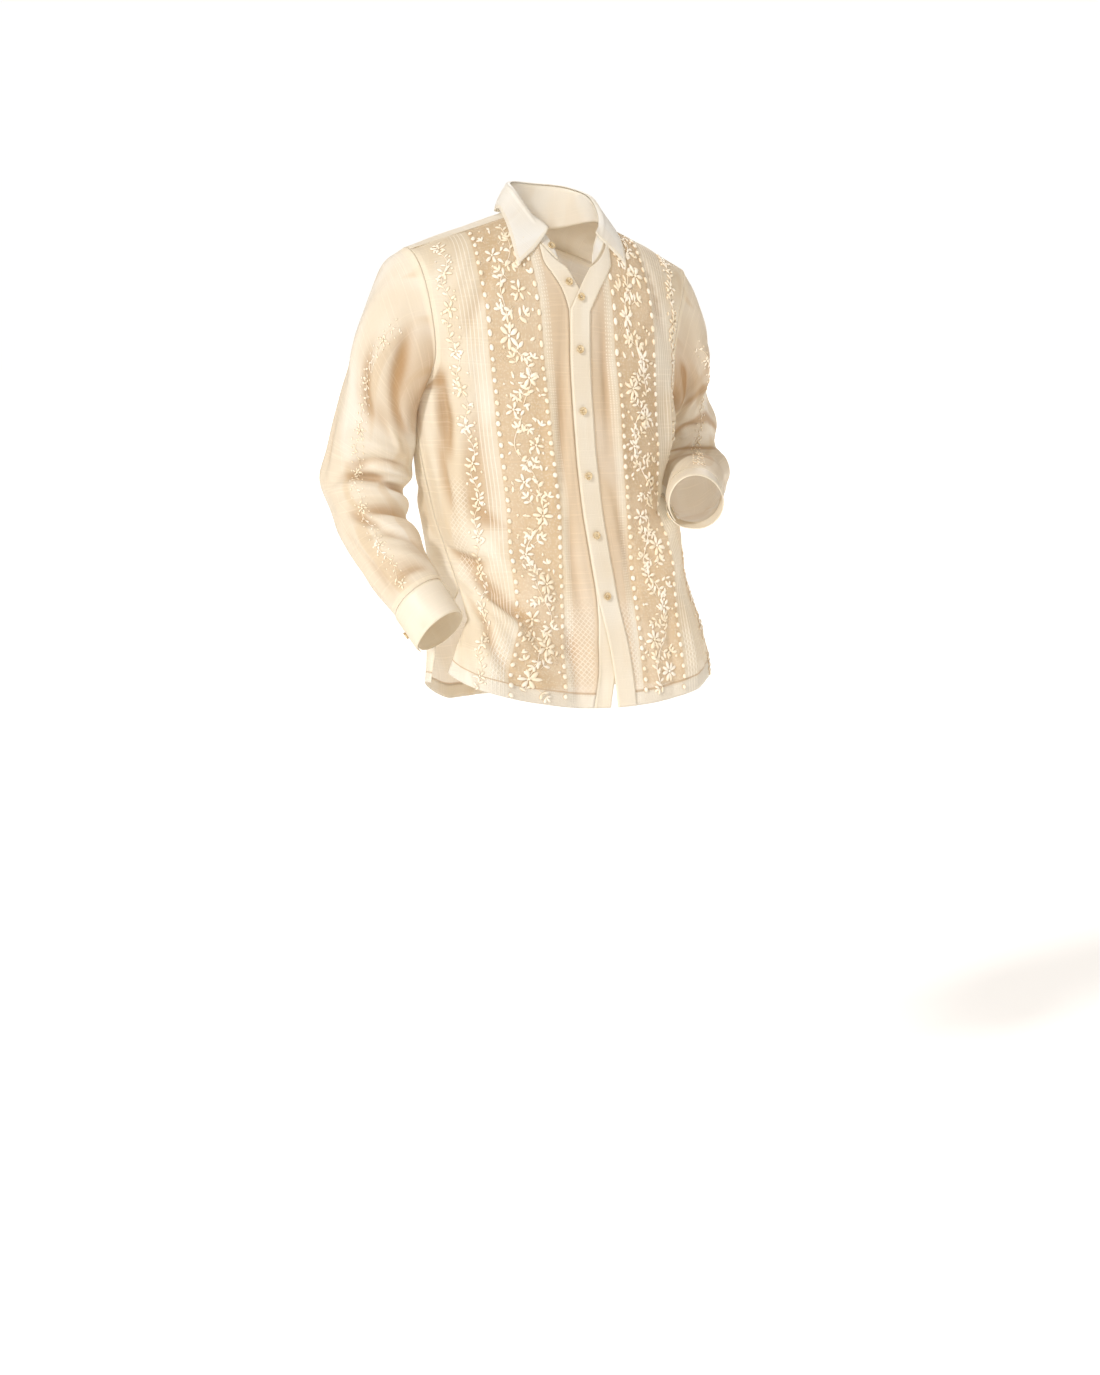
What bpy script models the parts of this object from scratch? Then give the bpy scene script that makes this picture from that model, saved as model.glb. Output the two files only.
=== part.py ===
"""Barong tagalog: a sheer, long-sleeved embroidered shirt, as it hangs when it is worn with the
right hand in a pocket and the left forearm raised.  Metres, +Z up, the front facing -Y.
The origin is the middle of the neck opening, level with the top of the shoulders.
Every cloth piece is one ply of its own: a grid of points on the worn form, given its wall by a
Solidify modifier that grows inwards."""

import math

import bpy
import numpy as np

# ---------------------------------------------------------------- driving sizes
WALL = 0.0013            # one ply of cloth
BAND_WALL = 0.0016       # interfaced pieces: collar, stand, cuffs and button bands
SEAM = 0.0006            # air between two pieces that are sewn edge to edge
LAY = 0.0004             # air between two plies that lie on each other
CHEST = -0.190           # level where the shirt starts to round over to the shoulder
ARMPIT = -0.250          # bottom of the armholes
RISE = 0.200             # cloth length from the chest level up to the shoulder ridge
RIDGE = CHEST + RISE     # the cloth height of the shoulder ridge
NECK_HALF = 0.074        # half width of the neck hole
NECK_FRONT = CHEST + 0.075   # cloth height of the neck hole at the centre front
NECK_BACK = CHEST + 0.124    # and at the centre back
SHOULDER_DROP = 0.40     # fall of the shoulder ridge for each metre outwards
CHEST_HALF = 0.209       # half width of the form at the chest
RIDGE_HALF = 0.242       # and along the shoulder ridge, where the armholes cut it short
ARMHOLE_CHEST = 0.192    # half distance between the armholes at the chest
ARMHOLE_TIP = 0.222      # half distance between the shoulder tips
SQUARENESS = 2.25        # 2 is an ellipse, more is squarer
HEM_FRONT = -0.686       # hem at the centre front
HEM_BACK = -0.694        # hem at the centre back
SIDE_RISE_FRONT = 0.044  # how much higher the front hem is at the side
SIDE_RISE_BACK = 0.012
HEM_CURVE_TOP = 0.470    # above this depth the rows are level
HEM_TURN = 0.020         # depth of the turned hem
BAND = 0.027             # width of the button bands
OVERLAP = 0.004          # how far the over band lies on the left front
YOKE_FRONT = RIDGE - 0.026   # cloth height of the yoke's front seam
YOKE_BACK = RIDGE - 0.092    # and of its back seam
ROLL = 0.071             # the left shoulder sits this much lower for each metre outwards
BUTTON = 0.0105          # diameter of a button
BUTTON_THICK = 0.0026
CUFF_LENGTH = 0.058
CUFF_START = {-1: 0.47, 1: 0.88}   # where round the wrist each cuff's under end sits, in turns
CUFF_LAP = 0.07          # how far past one whole turn a cuff goes

CLOTH = ("pina_cloth", (0.86, 0.76, 0.58), 0.75)
BANDS = ("band_cloth", (0.90, 0.84, 0.70), 0.70)
PEARL = ("button_shell", (0.70, 0.58, 0.38), 0.35)

# Horizontal sections of the body of the shirt, from the hem to the chest.
TORSO = {
    "level": (-0.720, -0.660, -0.590, -0.500, -0.430, -0.350, -0.270, -0.190),
    "half_width": (0.207, 0.203, 0.194, 0.187, 0.189, 0.197, 0.204, CHEST_HALF),
    "front": (0.132, 0.129, 0.124, 0.118, 0.116, 0.118, 0.119, 0.115),
    "back": (0.128, 0.125, 0.120, 0.108, 0.101, 0.106, 0.111, 0.112),
}
# The hips lean to the wearer's left and forward, under the shoulders.
SWAY = {
    "level": (-0.720, -0.620, -0.545, -0.470, -0.400, -0.320, -0.220, -0.140, -0.050, 0.060),
    "x": (0.033, 0.031, 0.023, 0.013, 0.003, -0.006, -0.012, -0.011, -0.001, 0.004),
    "y": (-0.024, -0.020, -0.014, -0.009, -0.004, 0.000, 0.001, 0.001, 0.000, -0.002),
}
# How far each front's inner edge lies from the centre line, towards its own side: minus half
# a band where the two bands overlap, more at the open neck and below the last button.
OPENING = {
    "height": (-0.700, -0.675, -0.640, -0.600, -0.565, -0.537, -0.515, -0.180, -0.155,
               -0.136, -0.120, -0.106, -0.096, -0.060),
    "right": (0.016, 0.015, 0.009, 0.000, -0.008, -0.0125, -0.0135, -0.0135, -0.012,
              -0.004, 0.007, 0.018, 0.028, 0.030),
    "left": (0.003, 0.003, 0.001, -0.004, -0.009, -0.0130, -0.0135, -0.0135, -0.0130,
             -0.0110, -0.006, 0.007, 0.022, 0.026),
}
# Soft folds of the fronts and the back: from (u, h) to (u2, h2) on the cloth, where u runs from
# the centre line to the wearer's left and h is the cloth height.  A positive depth stands out.
FOLDS = {
    "piece": ("front", "front", "front", "front", "front", "front", "front",
              "back", "back", "back", "back", "back", "back"),
    "u": (-0.190, -0.215, -0.215, -0.110, 0.195, 0.220, 0.120,
          -0.160, 0.150, -0.070, 0.085, -0.170, 0.205),
    "h": (-0.290, -0.430, -0.490, -0.520, -0.280, -0.430, -0.500,
          -0.200, -0.220, -0.470, -0.500, -0.400, -0.420),
    "u2": (-0.165, -0.110, -0.080, -0.090, 0.160, 0.140, 0.135,
           -0.090, 0.070, -0.085, 0.095, -0.185, 0.100),
    "h2": (-0.420, -0.510, -0.600, -0.700, -0.380, -0.490, -0.690,
           -0.330, -0.380, -0.700, -0.710, -0.600, -0.540),
    "depth": (-0.007, 0.007, -0.007, 0.005, 0.005, 0.005, 0.005,
              0.005, 0.005, 0.009, 0.008, 0.017, -0.006),
    "width": (0.026, 0.027, 0.028, 0.030, 0.026, 0.026, 0.030,
              0.028, 0.028, 0.030, 0.030, 0.045, 0.028),
}
# The right wrist lifts the front panel off the hip on its way into the pocket: how far the
# side edges of the front and the back move at each height.
WRIST_LIFT = {
    "height": (-0.720, -0.680, -0.640, -0.600, -0.560, -0.520, -0.470, -0.420),
    "front_x": (-0.058, -0.056, -0.050, -0.036, -0.011, 0.003, 0.002, 0.000),
    "front_y": (-0.100, -0.098, -0.094, -0.090, -0.076, -0.032, -0.010, 0.000),
    "front_z": (0.024, 0.022, 0.017, 0.011, 0.005, 0.000, 0.000, 0.000),
    "back_x": (-0.025, -0.024, -0.023, -0.021, -0.011, 0.003, 0.002, 0.000),
    "back_y": (0.006, 0.006, 0.004, 0.002, -0.010, -0.032, -0.010, 0.000),
    "back_z": (0.032, 0.030, 0.016, 0.006, 0.000, 0.000, 0.000, 0.000),
}
# The left slit stands a little away from the hip.
LEFT_FLARE = {"x": 0.009, "y": -0.006, "top": 0.470, "bottom": 0.680, "reach": 0.150}
# The left forearm presses the side of the shirt in and back, further round on the front.
ELBOW_PRESS = {"in": 0.018, "back": 0.006, "level": -0.384, "height": 0.046,
               "front_from": 0.165, "front_to": 0.065, "back_from": 0.110, "back_to": 0.0}

# Stations along each sleeve, from the armhole to the cuff: a point on its outer side, one on its
# inner side, and how far the tube reaches to the front and to the back of the line between them.
RIGHT_SLEEVE = {
    "out_x": (-0.222, -0.246, -0.265, -0.281, -0.301, -0.315, -0.310, -0.298, -0.284, -0.264),
    "out_y": (0.000, 0.032, 0.049, 0.065, 0.079, 0.081, 0.057, 0.024, -0.012, -0.046),
    "out_z": (-0.048, -0.075, -0.140, -0.208, -0.288, -0.365, -0.429, -0.474, -0.516, -0.553),
    "in_x": (-0.206, -0.206, -0.208, -0.207, -0.209, -0.215, -0.219, -0.215, -0.209, -0.207),
    "in_y": (0.000, -0.012, -0.008, 0.005, 0.018, 0.023, 0.009, -0.017, -0.047, -0.070),
    "in_z": (-0.242, -0.267, -0.293, -0.321, -0.353, -0.384, -0.414, -0.445, -0.475, -0.501),
    "front": (0.078, 0.074, 0.069, 0.064, 0.060, 0.056, 0.054, 0.051, 0.046, 0.040),
    "back": (0.066, 0.066, 0.065, 0.063, 0.062, 0.060, 0.056, 0.050, 0.045, 0.040),
}
LEFT_SLEEVE = {
    "out_x": (0.222, 0.245, 0.264, 0.290, 0.319, 0.330, 0.309, 0.281, 0.248, 0.214),
    "out_y": (0.000, 0.010, 0.025, 0.040, 0.063, 0.068, 0.014, -0.034, -0.084, -0.133),
    "out_z": (-0.076, -0.112, -0.185, -0.262, -0.318, -0.360, -0.373, -0.381, -0.388, -0.394),
    "in_x": (0.207, 0.207, 0.205, 0.208, 0.222, 0.236, 0.212, 0.188, 0.165, 0.141),
    "in_y": (0.000, 0.010, 0.034, 0.060, 0.090, 0.108, 0.062, 0.012, -0.042, -0.097),
    "in_z": (-0.264, -0.268, -0.288, -0.304, -0.338, -0.370, -0.376, -0.382, -0.388, -0.394),
    "front": (0.078, 0.074, 0.068, 0.062, 0.054, 0.042, 0.046, 0.048, 0.046, 0.041),
    "back": (0.066, 0.066, 0.064, 0.064, 0.066, 0.070, 0.062, 0.054, 0.048, 0.041),
}
# Folds across the sleeves: the station, the side they are deepest on (0 inner, 0.25 front,
# 0.5 outer, 0.75 back), how far round they reach, how much they slant, and their depth and width.
RIGHT_FOLDS = {
    "station": (2.6, 4.20, 4.85, 5.50, 6.15, 6.9, 7.7, 5.0, 3.4),
    "side": (0.20, 0.06, 0.08, 0.05, 0.08, 0.06, 0.10, 0.50, 0.85),
    "reach": (0.20, 0.28, 0.25, 0.26, 0.25, 0.24, 0.24, 0.22, 0.25),
    "slant": (1.6, -1.0, -0.8, -0.5, -0.4, 0.6, 0.9, 0.5, 1.2),
    "depth": (-0.005, 0.009, -0.010, 0.009, -0.009, 0.007, -0.006, 0.005, -0.005),
    "width": (0.55, 0.36, 0.32, 0.32, 0.32, 0.38, 0.38, 0.45, 0.55),
}
LEFT_FOLDS = {
    "station": (2.4, 3.4, 4.1, 4.7, 5.3, 6.1, 7.0, 3.0, 4.9),
    "side": (0.30, 0.35, 0.28, 0.30, 0.25, 0.45, 0.30, 0.75, 0.55),
    "reach": (0.22, 0.24, 0.26, 0.24, 0.26, 0.28, 0.26, 0.25, 0.22),
    "slant": (1.2, -0.9, 0.8, -0.6, 0.5, 0.7, -0.6, 1.0, -0.5),
    "depth": (-0.006, 0.007, -0.008, 0.008, -0.008, 0.007, -0.006, -0.006, 0.007),
    "width": (0.50, 0.38, 0.30, 0.28, 0.28, 0.36, 0.34, 0.50, 0.40),
}
# The collar, round the neck from the wearer's right front (-) over the back (180) to the left:
# the angle from the centre front, the top of the stand, and the edge that falls from it.
COLLAR = {
    "turn": (-158, -120, -90, -50, 0, 50, 90, 120, 160),
    "top_x": (-0.030, -0.048, -0.055, -0.046, 0.002, 0.050, 0.062, 0.059, 0.031),
    "top_y": (-0.070, -0.040, -0.008, 0.032, 0.053, 0.032, -0.010, -0.040, -0.076),
    "top_z": (-0.038, -0.002, 0.027, 0.043, 0.046, 0.043, 0.028, 0.000, -0.044),
    "fall_x": (-0.092, -0.091, -0.081, -0.058, 0.002, 0.062, 0.085, 0.090, 0.080),
    "fall_y": (-0.100, -0.052, -0.006, 0.054, 0.080, 0.054, -0.006, -0.050, -0.100),
    "fall_z": (-0.083, -0.030, 0.003, 0.004, 0.004, 0.004, 0.003, -0.030, -0.086),
}
STAND_TURN = (-158.0, 161.0)   # the stand's two ends, as angles from the back
LEAF_TURN = (-150.0, 146.0)    # where the leaf begins and ends on the stand

# Rows of cloth heights, from the hem to the chest and over the shoulder.
BODY_ROWS = (-0.640, -0.612, -0.585, -0.560, -0.537, -0.515, -0.490, -0.465, -0.440, -0.415,
             -0.390, -0.360, -0.330, -0.300, -0.275, ARMPIT, -0.241, -0.222, -0.190)
FRONT_TOP_ROWS = (-0.170, -0.156, -0.144, -0.132, -0.120, -0.108, -0.096, -0.084, -0.068,
                  -0.045, YOKE_FRONT)
BACK_TOP_ROWS = (-0.160, -0.134, -0.108, YOKE_BACK)
UNDER_BUTTON = -0.127
OVER_BUTTONS = (-0.141, -0.186, -0.269, -0.360, -0.444, -0.530)


# ---------------------------------------------------------------- curves through a few values
def through(keys, values, at):
    """A smooth curve through the values at the keys (Catmull-Rom slopes), read at `at`."""
    keys, values = np.asarray(keys, float), np.asarray(values, float)
    slopes = np.gradient(values, keys)
    at = np.clip(at, keys[0], keys[-1])
    i = np.clip(np.searchsorted(keys, at, side="right") - 1, 0, len(keys) - 2)
    span = keys[i + 1] - keys[i]
    t = (at - keys[i]) / span
    start, end = values[i], values[i + 1]
    rise = slopes[i] * span * (t**3 - 2 * t**2 + t) + slopes[i + 1] * span * (t**3 - t**2)
    return start + (end - start) * (3 * t**2 - 2 * t**3) + rise


def smooth(value, start, end):
    """0 before start, 1 after end, and a soft step between them."""
    t = np.clip((np.asarray(value, float) - start) / (end - start), 0, 1)
    return t * t * (3 - 2 * t)


def unit(vectors):
    return vectors / np.maximum(np.linalg.norm(vectors, axis=-1, keepdims=True), 1e-12)


# ---------------------------------------------------------------- the worn form of the torso
def ridge_height(x):
    """Height of the shoulder ridge, level across the neck hole and falling to the tips."""
    soft = 0.03
    return -SHOULDER_DROP * (np.sqrt(x**2 + soft**2) - math.hypot(NECK_HALF, soft))


def widening(over):
    """How much the form widens from the chest to the shoulder ridge."""
    return (RIDGE_HALF - CHEST_HALF) * np.sin(over) ** 1.5


def torso(theta, height, back):
    """The form before its pose.  theta is 0 on the centre line and +-90 degrees at the sides;
    height is the level up to the chest, and from there the cloth height over the shoulder."""
    theta, height = np.broadcast_arrays(np.asarray(theta, float), np.asarray(height, float))
    level = np.minimum(height, CHEST)
    power = 2 / SQUARENESS
    over = np.clip((height - CHEST) / RISE, 0, 1) * math.pi / 2
    width = through(TORSO["level"], TORSO["half_width"], level) + widening(over)
    depth = through(TORSO["level"], TORSO["back" if back else "front"], level)
    x = width * np.sign(theta) * np.abs(np.sin(theta)) ** power
    out = depth * np.abs(np.cos(theta)) ** power
    y = out * np.cos(over) * (1 if back else -1)
    z = level + (ridge_height(x) - CHEST) * np.sin(over)
    return np.stack([x, y, z], -1)


def posed(points):
    """The form with its shoulders rolled and its hips swayed."""
    x, y, z = points[..., 0], points[..., 1], points[..., 2]
    rolled = z - ROLL * x * smooth(z, -0.45, -0.10)
    return np.stack([x + through(SWAY["level"], SWAY["x"], z),
                     y + through(SWAY["level"], SWAY["y"], z), rolled], -1)


def angle_of_x(x, height):
    """The angle whose point is x from the centre line, at a height above the chest."""
    over = np.clip((np.asarray(height, float) - CHEST) / RISE, 0, 1) * math.pi / 2
    share = np.clip(np.abs(x) / (CHEST_HALF + widening(over)), 0, 1)
    return np.sign(x) * np.arcsin(share ** (SQUARENESS / 2))


def armhole_angle(height):
    """The angle where the armhole's edge cuts the form, 90 degrees at the armpit."""
    height = np.asarray(height, float)
    at_chest = float(angle_of_x(ARMHOLE_CHEST, CHEST))
    up = np.clip((height - ARMPIT) / (CHEST - ARMPIT), 0, 1)
    low = math.pi / 2 - (math.pi / 2 - at_chest) * np.sqrt(1 - (1 - up) ** 2)
    over = np.clip((height - CHEST) / RISE, 0, 1) * math.pi / 2
    edge = ARMHOLE_CHEST + (ARMHOLE_TIP - ARMHOLE_CHEST) * np.sin(over) ** 1.5
    high = angle_of_x(edge, height)
    return np.where(height <= CHEST, low, high)


# Cloth distances from the centre line, measured once at many levels, for the front and the back.
LEVELS = np.linspace(-0.720, RIDGE, 93)
ANGLES = np.linspace(0, math.pi / 2, 91)


def ring_lengths(back):
    grid = torso(ANGLES[None, :], LEVELS[:, None], back)
    steps = np.linalg.norm(np.diff(grid, axis=1), axis=2)
    return np.concatenate([np.zeros((len(LEVELS), 1)), np.cumsum(steps, axis=1)], axis=1)


LENGTHS = {back: ring_lengths(back) for back in (False, True)}
SIDES = {back: np.array([np.interp(armhole_angle(level), ANGLES, row)
                         for level, row in zip(LEVELS, LENGTHS[back])])
         for back in (False, True)}


def side_edge(height, back):
    """Cloth distance from the centre line to the side seam or the armhole."""
    return np.interp(height, LEVELS, SIDES[back]) - SEAM / 2


def angle_at(u, height, back):
    """The angle where the cloth distance from the centre line is u, at each height."""
    u, height = np.broadcast_arrays(np.asarray(u, float), np.asarray(height, float))
    row = np.interp(height, LEVELS, np.arange(len(LEVELS)))
    low = np.minimum(row.astype(int), len(LEVELS) - 2)
    found = []
    for one_u, one_row, one_low in zip(np.abs(u).ravel(), row.ravel(), low.ravel()):
        share = one_row - one_low
        below = np.interp(one_u, LENGTHS[back][one_low], ANGLES)
        above = np.interp(one_u, LENGTHS[back][one_low + 1], ANGLES)
        found.append(below * (1 - share) + above * share)
    return np.sign(u) * np.array(found).reshape(u.shape)


def fold_height(u, h, back):
    """How far the folds move the cloth out at (u, h); nothing at the side seams and armholes."""
    total = np.zeros_like(u)
    for k, name in enumerate(FOLDS["piece"]):
        if (name == "back") != back:
            continue
        a = np.array([FOLDS["u"][k], FOLDS["h"][k]])
        run = np.array([FOLDS["u2"][k], FOLDS["h2"][k]]) - a
        t = np.clip(((u - a[0]) * run[0] + (h - a[1]) * run[1]) / (run @ run), 0, 1)
        away = np.hypot(u - a[0] - t * run[0], h - a[1] - t * run[1])
        total += FOLDS["depth"][k] * np.exp(-((away / FOLDS["width"][k]) ** 2))
    inside = smooth(side_edge(h, back) - np.abs(u), 0.0, 0.055)
    return total * inside * smooth(-h, 0.10, 0.20)


def worn(u, h, back):
    """The posed point of the cloth at (u, h), without its folds' height."""
    points = torso(angle_at(u, h, back), h, back)
    share = smooth(-u, 0.160, 0.250) if back else smooth(-u, 0.055, 0.235)
    name = "back_" if back else "front_"
    for axis in range(3):
        points[..., axis] += share * np.interp(h, WRIST_LIFT["height"],
                                               WRIST_LIFT[name + "xyz"[axis]])
    press = np.exp(-(((h - ELBOW_PRESS["level"]) / ELBOW_PRESS["height"]) ** 2))
    edge = side_edge(h, back)
    pressed = press * smooth(u - edge, -ELBOW_PRESS[name + "from"], -ELBOW_PRESS[name + "to"] - 1e-6)
    points[..., 0] -= ELBOW_PRESS["in"] * pressed
    points[..., 1] += ELBOW_PRESS["back"] * pressed
    near = smooth(u, edge - LEFT_FLARE["reach"], edge)
    flare = near * smooth(-h, LEFT_FLARE["top"], LEFT_FLARE["bottom"])
    points[..., 0] += LEFT_FLARE["x"] * flare
    points[..., 1] += LEFT_FLARE["y"] * flare
    return posed(points)


def body(u, h, back, lift=0.0):
    """Points of the worn body of the shirt at cloth coordinates (u, h), `lift` above the cloth."""
    u, h = np.broadcast_arrays(np.asarray(u, float), np.asarray(h, float))
    step = 0.0015
    spots, height = [], []
    for du, dh in ((0, 0), (step, 0), (-step, 0), (0, step), (0, -step)):
        hh = np.clip(h + dh, LEVELS[0], RIDGE)
        reach = np.interp(hh, LEVELS, LENGTHS[back][:, -1])
        uu = np.clip(u + du, -reach, reach)
        spots.append(worn(uu, hh, back))
        height.append(fold_height(uu, hh, back))
    across, along = spots[1] - spots[2], spots[3] - spots[4]
    out = unit(np.cross(across, along)) * (-1 if back else 1)
    slope_u = (height[1] - height[2]) / np.linalg.norm(across, axis=-1)
    slope_h = (height[3] - height[4]) / np.linalg.norm(along, axis=-1)
    tilted = unit(out - unit(across) * slope_u[..., None] - unit(along) * slope_h[..., None])
    return spots[0] + out * height[0][..., None] + tilted * np.asarray(lift)[..., None]


# ---------------------------------------------------------------- edges of the body pieces
def hem_level(u, edge, centre, rise):
    """The hem's level at u: lowest on the centre line and curving up to the side."""
    return centre + rise * np.clip(np.abs(u) / edge, 0, 1) ** 2


def row_heights(height, u, edge, back):
    """A level row bent towards the hem's curve as it gets near it."""
    centre = HEM_BACK if back else HEM_FRONT
    rise = SIDE_RISE_BACK if back else SIDE_RISE_FRONT
    fade = smooth(-np.asarray(height, float), HEM_CURVE_TOP, -centre)
    return height + (hem_level(u, edge, centre, rise) - centre) * fade


def opening(height, side):
    """A front's inner edge, from the centre line towards its own side (side -1 is the right)."""
    return np.interp(height, OPENING["height"], OPENING["right" if side < 0 else "left"])


def neck_half_width(height, back=False):
    """Half width of the neck hole at a cloth height."""
    low = NECK_BACK if back else NECK_FRONT
    down = (RIDGE - np.asarray(height, float)) / (RIDGE - low)
    return NECK_HALF * np.sqrt(np.clip(1 - down**2, 0, 1))


def neck_edge(height):
    """Cloth distance from the centre line to the neck hole, on the front, at cloth heights."""
    height = np.atleast_1d(np.asarray(height, float))
    angles = angle_of_x(neck_half_width(height), height)
    rows = np.interp(height, LEVELS, np.arange(len(LEVELS)))
    found = []
    for angle, row in zip(angles, rows):
        low = min(int(row), len(LEVELS) - 2)
        ends = [np.interp(angle, ANGLES, LENGTHS[False][k]) for k in (low, low + 1)]
        found.append(ends[0] + (ends[1] - ends[0]) * (row - low))
    return np.array(found)


def front_start(height, side):
    """Where a front's cloth begins, beside its band or at the neck hole."""
    return max(float(opening(height, side)) + BAND + SEAM, float(neck_edge(height)[0]) + SEAM)


def band_tops(offsets, side):
    """Cloth heights where a button band meets the neck hole, at offsets across the band."""
    heights = np.linspace(NECK_FRONT, RIDGE, 400)
    half = neck_edge(heights)
    return np.array([float(np.interp(0.0, half - opening(heights, side) - offset, heights))
                     for offset in offsets]) - SEAM


def front_rows(side):
    """The fronts' rows, with one that meets the top of the band's inner edge."""
    lowest = float(band_tops((0.0,), side)[0])
    below = [row for row in FRONT_TOP_ROWS if row < lowest - 0.005]
    above = [row for row in FRONT_TOP_ROWS if row > lowest + 0.005]
    return tuple(below + [lowest] + above)


def neck_rise(row, top, lowest):
    """How much a row climbs towards the neck, so that it ends at `top` on the neck hole."""
    if row <= lowest:
        return (top - lowest) * smooth(row, -0.165, lowest)
    return (top - lowest) * (YOKE_FRONT - row) / (YOKE_FRONT - lowest)


def panel_coordinates(piece, rows, columns, side=1):
    """(u, h) of a body piece's points: a row per height, a column per share of its width."""
    back = piece == "back"
    us, hs = [], []
    for height in rows:
        columns = np.asarray(columns)
        level = np.full(columns.shape, float(height))
        if not back:
            lowest, top = band_tops((0.0, BAND), side)
            level += neck_rise(height, top, lowest) * (1 - smooth(columns, 0.0, 0.6))
        h = level
        for _ in range(3):
            edge = side_edge(h, back)
            full = np.interp(h, LEVELS, LENGTHS[back][:, -1]) - SEAM / 2
            start = -full if back else front_start(level[0], side)
            share = 2 * columns - 1 if back else columns
            u = (start + (full - start) * columns - (full - edge) * share**3) * side
            h = row_heights(level, u, edge, back)
        us.append(u)
        hs.append(h)
    return np.array(us), np.array(hs)


def band_coordinates(rows, offsets, side):
    """(u, h) of a button band; its top follows the neck hole."""
    us, hs = [], []
    tops = band_tops(offsets, side)
    lowest = tops[0]
    for height in [row for row in rows if row <= lowest]:
        h = height + (tops - lowest) * smooth(height, -0.165, lowest)
        u = (opening(h, side) + np.asarray(offsets)) * side
        edge = float(side_edge(height, False))
        us.append(u)
        hs.append(row_heights(h, u, edge, False))
    return np.array(us), np.array(hs)


# ---------------------------------------------------------------- meshes
def material(name, colour, rough):
    found = bpy.data.materials.get(name)
    if found:
        return found
    new = bpy.data.materials.new(name)
    new.use_nodes = True
    shader = new.node_tree.nodes["Principled BSDF"]
    shader.inputs["Base Color"].default_value = (*colour, 1)
    shader.inputs["Roughness"].default_value = rough
    return new


def add_mesh(name, points, faces, look):
    mesh = bpy.data.meshes.new(name)
    mesh.from_pydata([tuple(p) for p in points], [], faces)
    mesh.materials.append(material(*look))
    thing = bpy.data.objects.new(name, mesh)
    bpy.context.scene.collection.objects.link(thing)
    return thing


def cloth(name, grid, wall, look, closed=False, inward=False):
    """A grid of points as one ply: the wall grows inwards from the grid."""
    rows, columns = grid.shape[:2]
    faces = []
    for r in range(rows - 1):
        for c in range(columns if closed else columns - 1):
            d = (c + 1) % columns
            corner = (r * columns + c, r * columns + d, (r + 1) * columns + d, (r + 1) * columns + c)
            faces.append(corner[::-1] if inward else corner)
    thing = add_mesh(name, grid.reshape(-1, 3), faces, look)
    thickness = thing.modifiers.new("ply", "SOLIDIFY")
    thickness.thickness = wall
    thickness.offset = -1
    return thing


def button(name, centre, face, across):
    """A shell button: a turned disc with a softened rim and a dished front."""
    face = unit(np.asarray(face, float))
    right = unit(across - face * (across @ face))
    up = np.cross(face, right)
    radius = BUTTON / 2
    profile = ((0.0, 0.0), (0.86 * radius, 0.0), (radius, 0.40 * BUTTON_THICK),
               (0.90 * radius, BUTTON_THICK), (0.55 * radius, 0.60 * BUTTON_THICK))
    around = 10
    points = [centre]
    for ring_radius, level in profile[1:]:
        for k in range(around):
            a = 2 * math.pi * k / around
            points.append(centre + face * level
                          + (right * math.cos(a) + up * math.sin(a)) * ring_radius)
    points.append(centre + face * profile[-1][1])
    faces = []
    for k in range(around):
        n = (k + 1) % around
        faces.append((0, 1 + n, 1 + k))
        for ring in range(len(profile) - 2):
            a, b = 1 + ring * around, 1 + (ring + 1) * around
            faces.append((a + k, a + n, b + n, b + k))
        last = 1 + (len(profile) - 2) * around
        faces.append((last + k, last + n, len(points) - 1))
    return add_mesh(name, points, faces, PEARL)


# ---------------------------------------------------------------- body pieces
def body_pieces():
    shares = np.linspace(0, 1, 14)
    for side, name in ((-1, "right"), (1, "left")):
        rows = (HEM_FRONT, HEM_FRONT + HEM_TURN) + BODY_ROWS + front_rows(side)
        u, h = panel_coordinates("front", rows, shares, side)
        h[-1] -= SEAM
        cloth("front_" + name, body(u, h, False), WALL, CLOTH, inward=side < 0)
        hem_rows = (HEM_FRONT, HEM_FRONT + HEM_TURN)
        u, h = panel_coordinates("front", hem_rows, shares, side)
        turned = body(u, h, False, lift=-WALL - LAY)
        cloth("hem_front_" + name, turned, WALL, CLOTH, inward=side < 0)
    shares = np.linspace(0, 1, 25)
    hem_rows = (HEM_BACK, HEM_BACK + HEM_TURN)
    u, h = panel_coordinates("back", hem_rows + BODY_ROWS + BACK_TOP_ROWS, shares)
    h[-1] -= SEAM / 2
    cloth("back", body(u, h, True), WALL, CLOTH, inward=True)
    u, h = panel_coordinates("back", hem_rows, shares)
    cloth("hem_back", body(u, h, True, lift=-WALL - LAY), WALL, CLOTH, inward=True)


def bands():
    rows = (HEM_FRONT, HEM_FRONT + HEM_TURN) + BODY_ROWS
    u, h = band_coordinates(rows + front_rows(-1), (0.0, BAND * 0.35, BAND * 0.7, BAND), -1)
    cloth("placket_right", body(u, h, False), BAND_WALL, BANDS, inward=True)
    offsets = (0.0, BAND * 0.35, BAND * 0.7, BAND, BAND + OVERLAP)
    u, h = band_coordinates(rows + front_rows(1), offsets, 1)
    over = BAND_WALL + 2 * LAY
    cloth("placket_left", body(u, h, False, lift=over), BAND_WALL, BANDS)


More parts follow.
